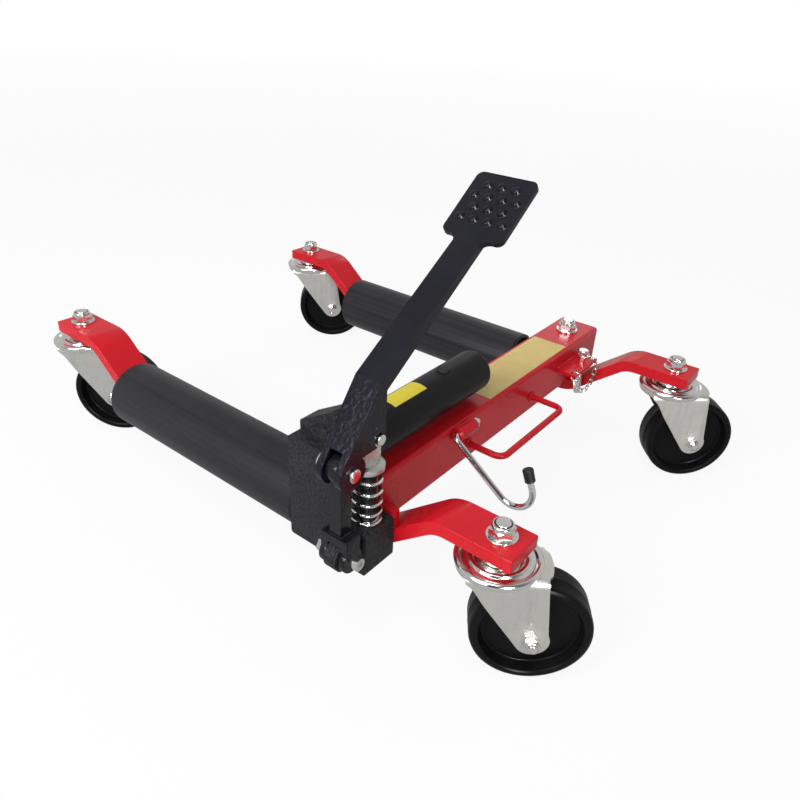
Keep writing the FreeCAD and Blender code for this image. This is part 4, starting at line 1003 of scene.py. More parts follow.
cup = [(0, 0, 0), (tank_wide, 0, 0.4), (tank_wide, tank_long, TANK_SHOULDER), (0, tank_long, 0)]
mesh = lathe("oil_tank_cup", cup, TANK_MIDDLE, (1, 0, 0), FINE_STEPS)
set_piece(mesh.name, mesh, "pump_unit", "tank_black", "oil_tank")
print("rollers and tank turned")

# %% [markdown]
# A caster fork is one pressed sheet, folded over to two tapered legs, with a raceway dish on top. Three
# flat plates would be simpler, but it is the bends between them that catch the light. So we lay the sheet
# as a grid of rows: up one leg, round the bend, over the top, and down the other leg. Each row runs from
# the leg's front edge to its back edge, so the outline comes from two broken lines and the round eye. The
# press also swells the sheet round the axle. Solidify gives it thickness and Bevel rounds its cut edge.

# %% Fork outline
FORK_TRAIL = 32
FORK_AXLE = 50
FORK_TOP = 112
FORK_HALF = 22
FORK_SHEET = 3
FORK_BEND = 6
EYE_RADIUS = 14
SWELL_RADIUS = 17
SWELL_RISE = 1.3
LEAD_EDGE = [(20.5, 42), (-9, 83.7), (-13.5, 91), (-17, 97), (-20.5, 102), (-25, 106), (-25.3, FORK_TOP)]
TAIL_EDGE = [(44.1, 57), (38.4, 104), (38, FORK_TOP)]
NOSE_RADIUS = 43
HEEL_RADIUS = 33.5


def along_edge(edge, height):
    """Where a broken line lies at a height."""
    for (low_x, low_z), (high_x, high_z) in zip(edge, edge[1:]):
        if height <= high_z:
            return low_x + (high_x - low_x) * (height - low_z) / (high_z - low_z)
    return edge[-1][0]


def leg_edges(height):
    """Front and back of a leg at a height: the wider of its tapered outline and its round eye."""
    fronts = []
    backs = []
    if abs(height - FORK_AXLE) < EYE_RADIUS:
        half = math.sqrt(EYE_RADIUS ** 2 - (height - FORK_AXLE) ** 2)
        fronts.append(FORK_TRAIL - half)
        backs.append(FORK_TRAIL + half)
    if height >= LEAD_EDGE[0][1]:
        fronts.append(along_edge(LEAD_EDGE, height))
    if height >= TAIL_EDGE[0][1]:
        backs.append(along_edge(TAIL_EDGE, height))
    return min(fronts), max(backs)


print("leg at the axle", [round(edge, 1) for edge in leg_edges(FORK_AXLE)])

# %% Fork rows
FOOT_LIFT = 0.03
LEG_ROWS = 34
BEND_STEPS = 6
TOP_STEPS = 12


def swell(x, height):
    far = math.hypot(x - FORK_TRAIL, height - FORK_AXLE) / SWELL_RADIUS
    return SWELL_RISE * (1 - far * far) ** 2 if far < 1 else 0.0


def fork_rows():
    """Rows of the folded sheet as (side, height, front, back), from one eye to the other."""
    foot = FORK_AXLE - EYE_RADIUS
    shoulder = FORK_TOP - FORK_BEND
    leg = []
    for row in range(LEG_ROWS):
        height = foot + FOOT_LIFT + (shoulder - foot) * (1 - math.cos(math.pi / 2 * row / LEG_ROWS))
        leg.append((-FORK_HALF, height) + leg_edges(height))
    bend = []
    for step in range(BEND_STEPS + 1):
        turn = math.pi / 2 * step / BEND_STEPS
        height = shoulder + FORK_BEND * math.sin(turn)
        side = -FORK_HALF + FORK_BEND * (1 - math.cos(turn))
        bend.append((side, height, -math.sqrt(HEEL_RADIUS ** 2 - side ** 2), leg_edges(height)[1]))
    near = leg + bend
    inner = FORK_HALF - FORK_BEND
    top = []
    for step in range(1, TOP_STEPS):
        side = -inner + 2 * inner * step / TOP_STEPS
        heel = -math.sqrt(HEEL_RADIUS ** 2 - side ** 2)
        top.append((side, FORK_TOP, heel, math.sqrt(NOSE_RADIUS ** 2 - side ** 2)))
    far = [(-side, height, front, back) for side, height, front, back in reversed(near)]
    return near + top + far


print(len(fork_rows()), "rows in a fork")

# %% Fork sheets and dishes
COLUMNS = 24
CUT_ROUND = 0.7
CUT_SHARP = 50


def sheet_mesh(name, rows):
    """A sheet of quads through rows of points."""
    form = bmesh.new()
    grid = [[form.verts.new(spot) for spot in row] for row in rows]
    for lower, upper in zip(grid, grid[1:]):
        for column in range(len(lower) - 1):
            form.faces.new((lower[column], lower[column + 1], upper[column + 1], upper[column]))
    return as_mesh(form, name)


def fork_sheet(name):
    rows = []
    for side, height, front, back in fork_rows():
        line = []
        for column in range(COLUMNS + 1):
            x = front + (back - front) * column / COLUMNS
            out = side + math.copysign(swell(x, height), side)
            line.append((x * MM, out * MM, height * MM))
        rows.append(line)
    holder = new_object(name, sheet_mesh(name, rows))
    solid = holder.modifiers.new("sheet", "SOLIDIFY")
    solid.thickness = FORK_SHEET * MM
    solid.offset = -1
    solid.use_even_offset = True
    bevel = holder.modifiers.new("cut_edge", "BEVEL")
    bevel.width = CUT_ROUND * MM
    bevel.segments = 3
    bevel.limit_method = "ANGLE"
    bevel.angle_limit = math.radians(CUT_SHARP)
    return shade(evaluated_mesh(holder, name), CUT_SHARP)


DISH = [
    (6.1, 109.4, 0), (31, 109.4, 2), (34.3, 112.0, 3), (35.5, 116.2, 2.4), (33.2, 118.8, 2),
    (30.6, 117.7, 1.5), (28.6, 115.6, 1.5), (25.0, 116.0, 1), (23.8, 118.0, 0.9), (20.8, 118.0, 0.9),
    (19.6, 116.8, 0.6), (6.1, 116.8, 0),
]
for corner in CORNERS:
    way = Vector(joints["wheel_spin_" + corner]["axis"])
    pivot = Vector(joints["swivel_" + corner]["pos_m"])
    stand = Matrix((Vector((way.y, -way.x, 0)), way, UP)).transposed().to_4x4()
    place = Matrix.Translation((pivot.x, pivot.y, 0)) @ stand
    sheet = fork_sheet("fork_%s_sheet" % corner)
    sheet.transform(place)
    set_piece(sheet.name, sheet, "swivel_" + corner, "pressed_zinc", "fork_" + corner)
    dish = lathe("fork_%s_dish" % corner, DISH, (pivot.x, pivot.y, 0), steps=FINE_STEPS)
    set_piece(dish.name, dish, "swivel_" + corner, "zinc_plate", "fork_" + corner)
    print(sheet.name, len(sheet.polygons), "faces and its dish", len(dish.polygons))

# %% [markdown]
# Repeats are grown with Geometry Nodes. Copies could be placed in a loop, but a tree keeps the sizes as
# inputs and the chance under a seed. A tree has named inputs, which the modifier takes by their
# identifiers, and it ends in Realize Instances and Set Material. The evaluated result becomes a plain
# mesh, and the holder goes away with its modifier. Two groups of nodes come back in several trees: a turn
# of a copy about its own axis, and a round wire swept along a curve.

# %% Trees and how they run


def new_tree(name, inputs):
    tree = bpy.data.node_groups.new(name, "GeometryNodeTree")
    tree.is_modifier = True
    tree.interface.new_socket("Geometry", in_out="INPUT", socket_type="NodeSocketGeometry")
    for label, (kind, value) in inputs.items():
        socket = tree.interface.new_socket(label, in_out="INPUT", socket_type="NodeSocket" + kind)
        if value is not None:
            socket.default_value = value
    tree.interface.new_socket("Geometry", in_out="OUTPUT", socket_type="NodeSocketGeometry")
    return tree, tree.nodes.new("NodeGroupInput").outputs, tree.nodes.new("NodeGroupOutput").inputs


def close_tree(tree, given, out, geometry):
    """The common end of a tree: real meshes with a finish."""
    real = add(tree, "GeometryNodeRealizeInstances", {0: geometry})
    dressed = add(tree, "GeometryNodeSetMaterial", {
        "Geometry": real.outputs[0], "Material": given["Finish"]})
    tree.links.new(dressed.outputs[0], out["Geometry"])
    return tree


def grown(tree, base, name, **values):
    """Run a tree on a base mesh and hand back a plain mesh with its faces outwards."""
    holder = new_object(name, base)
    modifier = holder.modifiers.new("grow", "NODES")
    modifier.node_group = tree
    for item in tree.interface.items_tree:
        label = item.name.replace(" ", "_")
        if item.in_out == "INPUT" and label in values:
            modifier[item.identifier] = values[label]
    mesh = evaluated_mesh(holder, name)
    form = bmesh.new()
    form.from_mesh(mesh)
    bmesh.ops.recalc_face_normals(form, faces=form.faces)
    form.to_mesh(mesh)
    form.free()
    return shade(mesh)


def line_mesh(points, closed=False):
    mesh = bpy.data.meshes.new("line")
    edges = [(i, i + 1) for i in range(len(points) - 1)]
    if closed:
        edges.append((len(points) - 1, 0))
    mesh.from_pydata([tuple(point) for point in points], edges, [])
    return mesh


print("trees can grow")

# %% Groups of nodes that come back


def turned_further(tree, rotation, angle):
    """A rotation with a turn about its own axis added."""
    spin = add(tree, "ShaderNodeCombineXYZ", {"Z": angle})
    own = add(tree, "FunctionNodeEulerToRotation", {0: spin.outputs[0]})
    facing = add(tree, "FunctionNodeRotateRotation", {0: rotation, 1: own.outputs[0]},
                 rotation_space="LOCAL")
    return facing.outputs[0]


def swept(tree, curve, radius, sides):
    """A round wire along a curve, with closed ends."""
    circle = add(tree, "GeometryNodeCurvePrimitiveCircle", {"Resolution": sides, "Radius": radius})
    wire = add(tree, "GeometryNodeCurveToMesh", {
        "Curve": curve, "Profile Curve": circle.outputs[0], "Fill Caps": True})
    return wire.outputs[0]


print("turn and sweep ready")

# %% [markdown]
# The first tree sets a form on points: lock nuts, their nylon rings and the studs of the foot pad. The
# points carry the way that each copy faces, and a seeded turn about that way keeps the nuts from all
# standing alike.

# %% Tree for forms on points


def forms_on_points():
    tree, given, out = new_tree("forms_on_points", {
        "Form": ("Object", None), "Turn Spread": ("Float", 1.0), "Seed": ("Int", 3),
        "Finish": ("Material", None),
    })
    way = add(tree, "GeometryNodeInputNamedAttribute", {"Name": "way"}, data_type="FLOAT_VECTOR")
    aim = add(tree, "FunctionNodeAlignRotationToVector", {"Vector": way.outputs[0]}, axis="Z")
    chance = add(tree, "FunctionNodeRandomValue", {"Seed": given["Seed"]}, data_type="FLOAT")
    turn = math_node(tree, "MULTIPLY", chance.outputs[1], given["Turn Spread"])
    facing = turned_further(tree, aim.outputs[0], turn)
    form = add(tree, "GeometryNodeObjectInfo", {"Object": given["Form"]})
    copies = add(tree, "GeometryNodeInstanceOnPoints", {
        "Points": given["Geometry"], "Instance": form.outputs["Geometry"], "Rotation": facing})
    return close_tree(tree, given, out, copies.outputs[0])


points_tree = forms_on_points()


def on_points(name, form, places, ways, finish, spread=0.0, seed=3):
    base = bpy.data.meshes.new("points")
    base.from_pydata([tuple(place) for place in places], [], [])
    field = base.attributes.new("way", "FLOAT_VECTOR", "POINT")
    field.data.foreach_set("vector", [value for way in ways for value in way])
    item = new_object(form.name, form)
    mesh = grown(points_tree, base, name, Form=item, Turn_Spread=spread, Seed=seed,
                 Finish=finishes[finish])
    bpy.data.objects.remove(item)
    return mesh


print("tree", points_tree.name, "ready")

# %% [markdown]
# A lock nut is a hexagon with its corners turned off, a round crimped collar and a nylon ring inside it.
# The section changes with the angle, because the hexagon's corners reach further out, so we give the
# spinner a function of the angle. The same function makes the big nuts of the kingpins and the small ones
# of the axles. The collar and the dimple of a bolt's head are rows of a share of the radius and a drop
# from the top.

# %% Nut and head forms
NUT_STEPS = 96
NUT_FACE = 0.955
NUT_CUT = 0.55
COLLAR_FOOT = (0.93, 0.2)
COLLAR = [(0.93, 1.3), (0.905, 0.6), (0.85, 0.15), (0.79, 0), (0.75, 0.1), (0.735, 0.5), (0.735, 1.2)]
HEAD_STEPS = 72
HEAD_FACE = 0.95
HEAD_CUT = 0.5
DIMPLE = [(0.6, 0), (0.52, 0.5)]


def merged(name, *meshes):
    form = bmesh.new()
    for mesh in meshes:
        form.from_mesh(mesh)
    return shade(finished(form, name))


def hex_reach(flat, angle):
    return flat / math.cos(angle % (math.pi / 3) - math.pi / 6)


def lock_nut(name, across, hex_height, height, bore, base=0.0):
    flat = across / 2

    def section(angle):
        reach = hex_reach(flat, angle)
        face = NUT_FACE * flat
        cut = (reach - face) * NUT_CUT
        rows = [(bore, 0), (face, 0), (reach, cut), (reach, hex_height - cut), (face, hex_height)]
        rows.append((COLLAR_FOOT[0] * flat, hex_height + COLLAR_FOOT[1]))
        rows += [(share * flat, height - drop) for share, drop in COLLAR]
        rows.append((bore, height - COLLAR[-1][1]))
        return [(radius, base + z) for radius, z in rows]

    return spun(name, section, NUT_STEPS)


def hex_head(name, across, height):
    flat = across / 2

    def section(angle):
        reach = hex_reach(flat, angle)
        face = HEAD_FACE * flat
        cut = (reach - face) * HEAD_CUT
        rows = [(0, 0), (reach, 0), (reach, height - cut), (face, height)]
        rows += [(share * flat, height - drop) for share, drop in DIMPLE]
        return rows + [(0, height - DIMPLE[-1][1])]

    return spun(name, section, HEAD_STEPS)


print("collar of", len(COLLAR), "rows")

# %% Kingpin nuts
WASHER_THICK = 2.5
KINGPIN_NUT = {"across": 19, "hex_height": 6.6, "height": 10.4, "bore": 6.1}
NYLON_RING = [(6.1, 9.0, 0), (7.0, 9.0, 0), (7.0, 9.9, 0.3), (6.1, 9.9, 0.3)]
WASHER = [(6.3, 0, 0.3), (12.8, 0, 0.5), (12.8, WASHER_THICK, 0.8), (6.3, WASHER_THICK, 0.3)]


def nut_with_washer():
    nut = lock_nut("nut", base=WASHER_THICK, **KINGPIN_NUT)
    return merged("nut_with_washer", lathe("washer", WASHER), nut)


def nylon_ring():
    raised = [(radius, height + WASHER_THICK, fillet) for radius, height, fillet in NYLON_RING]
    return lathe("nylon_ring", raised)


NUT_PLACES = {}
for unit in "ab":
    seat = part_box("kingpin_nuts_" + unit)[0][2]
    rows = [joints["swivel_%s_%s" % (unit, end)]["pos_m"] for end in ("front", "rear")]
    NUT_PLACES["kingpin_nuts_" + unit] = [(place[0], place[1], seat) for place in rows]
low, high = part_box("pivot_nut")
NUT_PLACES["pivot_nut"] = [((low[0] + high[0]) / 2, (low[1] + high[1]) / 2, low[2])]
for seed, (node, places) in enumerate(NUT_PLACES.items()):
    ways = [UP] * len(places)
    mesh = on_points(node + "_locking", nut_with_washer(), places, ways, "zinc_plate", 1.0, seed + 2)
    set_piece(mesh.name, mesh, body_of[node], "zinc_plate", node)
    mesh = on_points(node + "_nylon", nylon_ring(), places, ways, "bush_plastic", 1.0, seed + 2)
    set_piece(mesh.name, mesh, body_of[node], "bush_plastic")
    print(node, len(places), "nuts")

# %% [markdown]
# A caster's axle is a bolt across the fork with a small lock nut on one side and its head on the other.
# Both come from the functions above at a smaller size, and the tree turns each to face out of the fork.

# %% Caster axles
AXLE_NUT = {"across": 13, "hex_height": 4.3, "height": 6.5, "bore": 4.05}
AXLE_HEAD = {"across": 13, "height": 6}
AXLE_TIP = [(0, -51, 0), (3.95, -51, 0), (3.95, 7.5, 0.8), (0, 7.5, 0)]
for corner in CORNERS:
    way = Vector(joints["wheel_spin_" + corner]["axis"])
    axle = Vector(joints["wheel_spin_" + corner]["pos_m"])
    reach = (FORK_HALF + SWELL_RISE) * MM
    nut = merged("axle_nut", lock_nut("nut", **AXLE_NUT), lathe("tip", AXLE_TIP, steps=48))
    head = hex_head("head", **AXLE_HEAD)
    near = on_points("near", nut, [axle - way * reach], [-way], "zinc_plate", spread=1.0, seed=5)
    far = on_points("far", head, [axle + way * reach], [way], "zinc_plate", spread=1.0, seed=6)
    mesh = merged("caster_axle_%s_bolt" % corner, near, far)
    set_piece(mesh.name, mesh, "swivel_" + corner, "zinc_plate", "caster_axle_" + corner)
    print(mesh.name, len(mesh.polygons), "faces")

# %% [markdown]
# The second tree sweeps a round wire along a line: the carry handle, the hook, the rings and the form of
# a chain link. The line is a mesh of edges, which the tree turns into a curve first. A curve with a bevel
# depth would give the same rod, but the tree can run on any line and its sizes have names.

# %% Tree for bent rods
RING_SIDES = 14


def bent_rods():
    tree, given, out = new_tree("bent_rods", {
        "Wire Radius": ("Float", 0.003), "Sides": ("Int", 20), "Finish": ("Material", None),
    })
    curve = add(tree, "GeometryNodeMeshToCurve", {"Mesh": given["Geometry"]})
    wire = swept(tree, curve.outputs[0], given["Wire Radius"], given["Sides"])
    return close_tree(tree, given, out, wire)


rod_tree = bent_rods()


def rod(name, corners, bends, radius, finish, closed=False, sides=20):
    line = line_mesh(rounded_path(corners, bends, closed), closed)
    return grown(rod_tree, line, name, Wire_Radius=radius, Sides=sides, Finish=finishes[finish])


def circle_line(middle, radius, first, second, count=40):
    turns = [2 * math.pi * step / count for step in range(count)]
    return [middle + first * (radius * math.cos(turn)) + second * (radius * math.sin(turn))
            for turn in turns]


def ring(name, middle, radius, first, second, wire, finish):
    points = circle_line(middle, radius, first, second)
    return rod(name, points, [0] * len(points), wire, finish, closed=True, sides=RING_SIDES)


print("tree", rod_tree.name, "ready")

# %% [markdown]
# The handle is one rod with two bends, welded to the beam. The hook is a wire with a short axle in its
# lug, a straight shank and a round curl that ends under a rubber cap. Both repeat the driving sizes of
# their solids.

# %% Carry handle
low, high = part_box("carry_handle")
HANDLE_RADIUS = 3.3 * MM
HANDLE_BEND = 10 * MM
HANDLE_ROUTE = ((-1, 0), (-1, 1), (1, 1), (1, 0))
handle_z = (low[2] + high[2]) / 2
handle_x = (high[0] - low[0]) / 2 - HANDLE_RADIUS
handle_y = (high[1], low[1] + HANDLE_RADIUS)
corners = [Vector((side * handle_x, handle_y[out], handle_z)) for side, out in HANDLE_ROUTE]
bends = [0, HANDLE_BEND, HANDLE_BEND, 0]
mesh = rod("carry_handle_rod", corners, bends, HANDLE_RADIUS, "red_paint")
set_piece(mesh.name, mesh, "beam_unit", "red_paint", "carry_handle")
print(mesh.name, len(mesh.polygons), "faces")

# %% Pedal hook
HOOK_PIVOT = Vector(joints["hook_swing"]["pos_m"])
HOOK_DROP = math.radians(180 + 35.8)
HOOK_TURN = math.radians(146.5)
HOOK_CURL = 19 * MM
HOOK_SHANK = 68 * MM
HOOK_TIP = 17.5 * MM
HOOK_NECK = 6 * MM
HOOK_RADIUS = 3 * MM
shank_way = Vector((0, math.cos(HOOK_DROP), math.sin(HOOK_DROP)))
tip_way = Vector((0, math.cos(HOOK_DROP - HOOK_TURN), math.sin(HOOK_DROP - HOOK_TURN)))
curl_reach = HOOK_CURL * math.tan(HOOK_TURN / 2)
neck = HOOK_PIVOT + Vector((-HOOK_NECK, 0, 0))
curl = neck + shank_way * (HOOK_SHANK + curl_reach)
hook_end = curl + tip_way * (curl_reach + HOOK_TIP)
axle_end = Vector((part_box("pedal_hook")[1][0], HOOK_PIVOT.y, HOOK_PIVOT.z))
corners = [axle_end, neck, curl, hook_end]
bends = [0, HOOK_NECK, HOOK_CURL, 0]
mesh = rod("pedal_hook_wire", corners, bends, HOOK_RADIUS, "chrome_plate", sides=24)
set_piece(mesh.name, mesh, "hook_unit", "chrome_plate", "pedal_hook")
print(mesh.name, len(mesh.polygons), "faces")

# %% Hook cap and nut
CAP = [(0, 0, 0), (3.1, 0, 0), (3.1, -9.5, 0), (4.5, -9.5, 0.4), (4.9, -8.6, 0.4), (4.7, -7.6, 0.4),
       (5, 2, 1.2), (4.2, 3, 0.8), (0, 3, 0)]
mesh = lathe("hook_cap_sleeve", CAP, hook_end, tip_way, 48)
set_piece(mesh.name, mesh, "hook_unit", "black_rubber", "hook_cap")
HOOK_NUT = {"across": 9.5, "hex_height": 3.6, "height": 5, "bore": 3.05}
nut_place = (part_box("hook_nut")[0][0], HOOK_PIVOT.y, HOOK_PIVOT.z)
mesh = placed(lock_nut("hook_nut_locking", **HOOK_NUT), nut_place, (1, 0, 0))
set_piece(mesh.name, mesh, body_of["hook_nut"], slot_of["hook_nut"], "hook_nut")
print("hook capped and nutted")

# %% [markdown]
# The plunger's return spring is a coil, so it follows a rule: a spiral whose height rises with a power of the way
# along it, because the lowest turns of a real spring sit closer. A Screw modifier would wind it evenly. The piece
# rides on the pump unit with its own copy of the mesh.

# %% Spring
COIL_STEPS = 36
WIRE_SIDES = 14


def coil_spring():
    tree, given, out = new_tree("coil_spring", {
        "Turns": ("Float", 6.0), "Coil Radius": ("Float", 0.0117), "Rise": ("Float", 0.05),
        "Crowding": ("Float", 1.15), "Wire Radius": ("Float", 0.0013), "Finish": ("Material", None),
    })
    spiral = add(tree, "GeometryNodeCurveSpiral", {
        "Resolution": COIL_STEPS, "Rotations": given["Turns"], "Start Radius": given["Coil Radius"],
        "End Radius": given["Coil Radius"], "Height": given["Rise"]})
    share = add(tree, "GeometryNodeSplineParameter").outputs["Factor"]
    crowded = math_node(tree, "POWER", share, given["Crowding"])
    height = math_node(tree, "MULTIPLY", crowded, given["Rise"])
    spot = add(tree, "ShaderNodeSeparateXYZ", {0: add(tree, "GeometryNodeInputPosition").outputs[0]}).outputs
    moved = add(tree, "ShaderNodeCombineXYZ", {"X": spot["X"], "Y": spot["Y"], "Z": height})
    curve = add(tree, "GeometryNodeSetPosition", {
        "Geometry": spiral.outputs[0], "Position": moved.outputs[0]})
    wire = swept(tree, curve.outputs[0], given["Wire Radius"], WIRE_SIDES)
    return close_tree(tree, given, out, wire)


SPRING_WIRE = 1.35 * MM
SPRING_RADIUS = 11.7 * MM
SPRING_TURNS = 5.0
low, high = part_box("plunger_spring")
SPRING_FOOT = low[2]
spring_rise = high[2] - low[2] - 2 * SPRING_WIRE
PLUNGER_AXIS = ((low[0] + high[0]) / 2, (low[1] + high[1]) / 2)
mesh = grown(coil_spring(), line_mesh([(0, 0, 0)]), "plunger_spring_coil", Turns=SPRING_TURNS,
             Rise=spring_rise, Coil_Radius=SPRING_RADIUS, Wire_Radius=SPRING_WIRE,
             Finish=finishes["chrome_plate"])
mesh.transform(Matrix.Translation((*PLUNGER_AXIS, SPRING_FOOT + SPRING_WIRE)))
spring = set_piece(mesh.name, mesh, "pump_unit", "chrome_plate", "plunger_spring")
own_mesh(spring)
print("spring of", round((high[2] - low[2]) / MM, 1), "mm,", len(mesh.polygons), "faces")

# %% [markdown]
# The third tree sets a form along a line, each copy turned from the one before and a little different in
# size. It makes the lanyard's chain, with oval links that alternate by a quarter turn, and the weld
# beads, whose ripples are small lenses that overlap along the seam.

# %% Tree for forms along a line


def forms_along_line():
    tree, given, out = new_tree("forms_along_line", {
        "Form": ("Object", None), "Count": ("Int", 10), "Roll Step": ("Float", 0.0),
        "Size Spread": ("Float", 0.0), "Seed": ("Int", 1), "Finish": ("Material", None),
    })
    curve = add(tree, "GeometryNodeMeshToCurve", {"Mesh": given["Geometry"]})
    smooth = add(tree, "GeometryNodeCurveSplineType", {0: curve.outputs[0]}, spline_type="CATMULL_ROM")
    spots = add(tree, "GeometryNodeCurveToPoints", {"Curve": smooth.outputs[0], "Count": given["Count"]},
                mode="COUNT")
    index = add(tree, "GeometryNodeInputIndex").outputs[0]
    roll = math_node(tree, "MULTIPLY", index, given["Roll Step"])
    facing = turned_further(tree, spots.outputs["Rotation"], roll)
    least = math_node(tree, "SUBTRACT", 1.0, given["Size Spread"])
    chance = add(tree, "FunctionNodeRandomValue", {2: least, 3: 1.0, "Seed": given["Seed"]},
                 data_type="FLOAT")
    form = add(tree, "GeometryNodeObjectInfo", {"Object": given["Form"]})
    copies = add(tree, "GeometryNodeInstanceOnPoints", {
        "Points": spots.outputs["Points"], "Instance": form.outputs["Geometry"], "Rotation": facing,
        "Scale": chance.outputs[1]})
    return close_tree(tree, given, out, copies.outputs[0])


line_tree = forms_along_line()


def along_line(name, form, points, count, finish, closed=False, **values):
    item = new_object(form.name, form)
    mesh = grown(line_tree, line_mesh(points, closed), name, Form=item, Count=count,
                 Finish=finishes[finish], **values)
    bpy.data.objects.remove(item)
    return mesh


def length_of(points):
    return sum((end - start).length for start, end in zip(points, points[1:]))


print("tree", line_tree.name, "ready")

# %% [markdown]
# The lock pin has a flared head and carries a ring. A chain of oval links runs from that ring in a loose loop to a
# keeper ring in the bracket's eyelet. The chain bridges two bodies; it is made on the beam and taken off the
# beam's body at the very end.

# %% Lock pin and rings
RING_WIRE = 0.85 * MM
PIN = [(0, 78, 0), (2.6, 78, 0.3), (4, 80, 0.8), (4, 126, 0), (4, 130.5, 0.6), (6.3, 132.3, 0.5),
       (6.3, 134, 0.5), (5.2, 135, 0.6), (0, 135, 0)]
EAST = Vector((1, 0, 0))
NORTH = Vector((0, 1, 0))
low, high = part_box("lock_pin")
PIN_AXIS = Vector(((low[0] + high[0]) / 2, (low[1] + high[1]) / 2, 0))
mesh = lathe("lock_pin_turned", PIN, PIN_AXIS, steps=48)
set_piece(mesh.name, mesh, "pin_unit", slot_of["lock_pin"], "lock_pin")
low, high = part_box("pin_ring")
ring_middle = (Vector(low) + Vector(high)) / 2
ring_radius = (high[0] - low[0]) / 2 - RING_WIRE
mesh = ring("pin_ring_wire", ring_middle, ring_radius, EAST, NORTH, RING_WIRE, "zinc_plate")
set_piece(mesh.name, mesh, "pin_unit", slot_of["pin_ring"], "pin_ring")

KEEPER = Vector((123.1, -197.2, 117.9)) * MM
KEEPER_RADIUS = 5.5 * MM
mesh = ring("keeper_ring_wire", KEEPER, KEEPER_RADIUS, NORTH, UP, RING_WIRE, "zinc_plate")
set_piece(mesh.name, mesh, "beam_unit", slot_of["lanyard_chain"], "lanyard_chain")
print("pin ring of", round(ring_radius / MM, 1), "mm and keeper ring of", round(KEEPER_RADIUS / MM, 1), "mm")

# %% Chain
LINK_WIRE = 0.8 * MM
LINK_HALF_WIDTH = 2.2 * MM
LINK_PITCH = 6.2 * MM
LINK_STEPS = 8
LINK_SIDES = 8
CHAIN_ROUTE = [
    (161.5, -194.6, 128.7), (161.5, -203, 121.7), (160, -203.5, 110), (151.5, -203.5, 99.5),
    (139, -203, 96.5), (127.5, -199, 101), (123.1, -197.2, 111.5),
]


def chain_link():
    """An oval of wire about its middle, long in Z."""
    straight = LINK_PITCH / 2 - LINK_HALF_WIDTH + LINK_WIRE
    points = []
    for end, start in ((1, 0.0), (-1, math.pi)):
        for step in range(LINK_STEPS + 1):
            turn = start + math.pi * step / LINK_STEPS
            height = LINK_HALF_WIDTH * math.sin(turn) + end * straight
            points.append(Vector((LINK_HALF_WIDTH * math.cos(turn), 0, height)))
    bends = [0] * len(points)
    return rod("chain_link", points, bends, LINK_WIRE, "zinc_plate", closed=True, sides=LINK_SIDES)


route = [Vector(point) * MM for point in CHAIN_ROUTE]
link_count = round(length_of(route) / LINK_PITCH)
mesh = along_line("lanyard_chain_links", chain_link(), route, link_count, "zinc_plate",
                  Roll_Step=math.pi / 2)
chain = set_piece(mesh.name, mesh, "beam_unit", slot_of["lanyard_chain"], "lanyard_chain")
print("chain of", link_count, "links")

# %% [markdown]
# Weld beads run where the handle, the bracket and the hook's lug meet the beam. They are painted with the
# rest. The handle's beads are rings round its feet. The others are straight seams, in by a little from
# each end. A smooth fillet would be a cast corner, so the beads keep their ripples.

# %% Weld beads
BEAD_RADIUS = 2.0
BEAD_CUT = BEAD_RADIUS * 0.8
BEAD_STEP = 1.7 * MM
BEAD_SPREAD = 0.25
RIPPLE = [(0, -1.3, 0), (BEAD_CUT, -0.9, 0.4), (BEAD_RADIUS, 0, 0.6), (BEAD_CUT, 0.9, 0.4), (0, 1.3, 0)]
WELD_LIFT = 0.3 * MM
WELD_REACH = 0.9 * MM
LOW, HIGH = 0, 1
SEAMS = {"bracket_weld": ("pin_bracket", 2 * MM, HIGH, 7), "lug_weld": ("hook_lug", 1 * MM, LOW, 9)}


def weld_bead(name, points, body, closed=False, seed=1):
    ripple = lathe("ripple", RIPPLE, steps=14)
    count = max(3, round(length_of(points + points[:1] if closed else points) / BEAD_STEP))
    mesh = along_line(name, ripple, points, count, "red_paint", closed, Size_Spread=BEAD_SPREAD, Seed=seed)
    return set_piece(name, mesh, body, "red_paint")


beam_low, beam_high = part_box("beam_tube")
BEAM_SIDE = beam_low[1]
for name, side in (("left", -1), ("right", 1)):
    foot = Vector((side * handle_x, BEAM_SIDE - WELD_LIFT, handle_z))
    seam = circle_line(foot, HANDLE_RADIUS + WELD_REACH, EAST, UP, 16)
    weld_bead("handle_weld_" + name, seam, "beam_unit", closed=True, seed=4 + side)
for name, (node, inset, edge, seed) in SEAMS.items():
    low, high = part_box(node)
    height = (low, high)[edge][2]
    seam = [Vector((low[0] + inset, BEAM_SIDE, height)), Vector((high[0] - inset, BEAM_SIDE, height))]
    weld_bead(name, seam, "beam_unit", seed=seed)
print("weld beads laid")

# %% [markdown]
# The pedal lever is a casting: a forked heel, a cranked shank and a studded pad. Its copy gets soft
# edges. A small step between the shank and the web beside it is closed first, because it would leave no
# room for them. The studs of the solid are taken off the copy, their middles are kept, and smooth domes
# grow there.

# %% Groups of faces


def islands(faces):
    """Groups of faces that hang together."""
    left = set(faces)
    while left:
        group = {left.pop()}
        rim = list(group)
        while rim:
            for edge in rim.pop().edges:
                for face in edge.link_faces:
                    if face in left:
                        left.remove(face)
                        group.add(face)
                        rim.append(face)
        yield group


def middle_of(group):
    """The middle of the box round a group of faces."""
    rows = list(zip(*(vert.co for face in group for vert in face.verts)))
    return Vector([(min(row) + max(row)) / 2 for row in rows])


print("face groups ready")

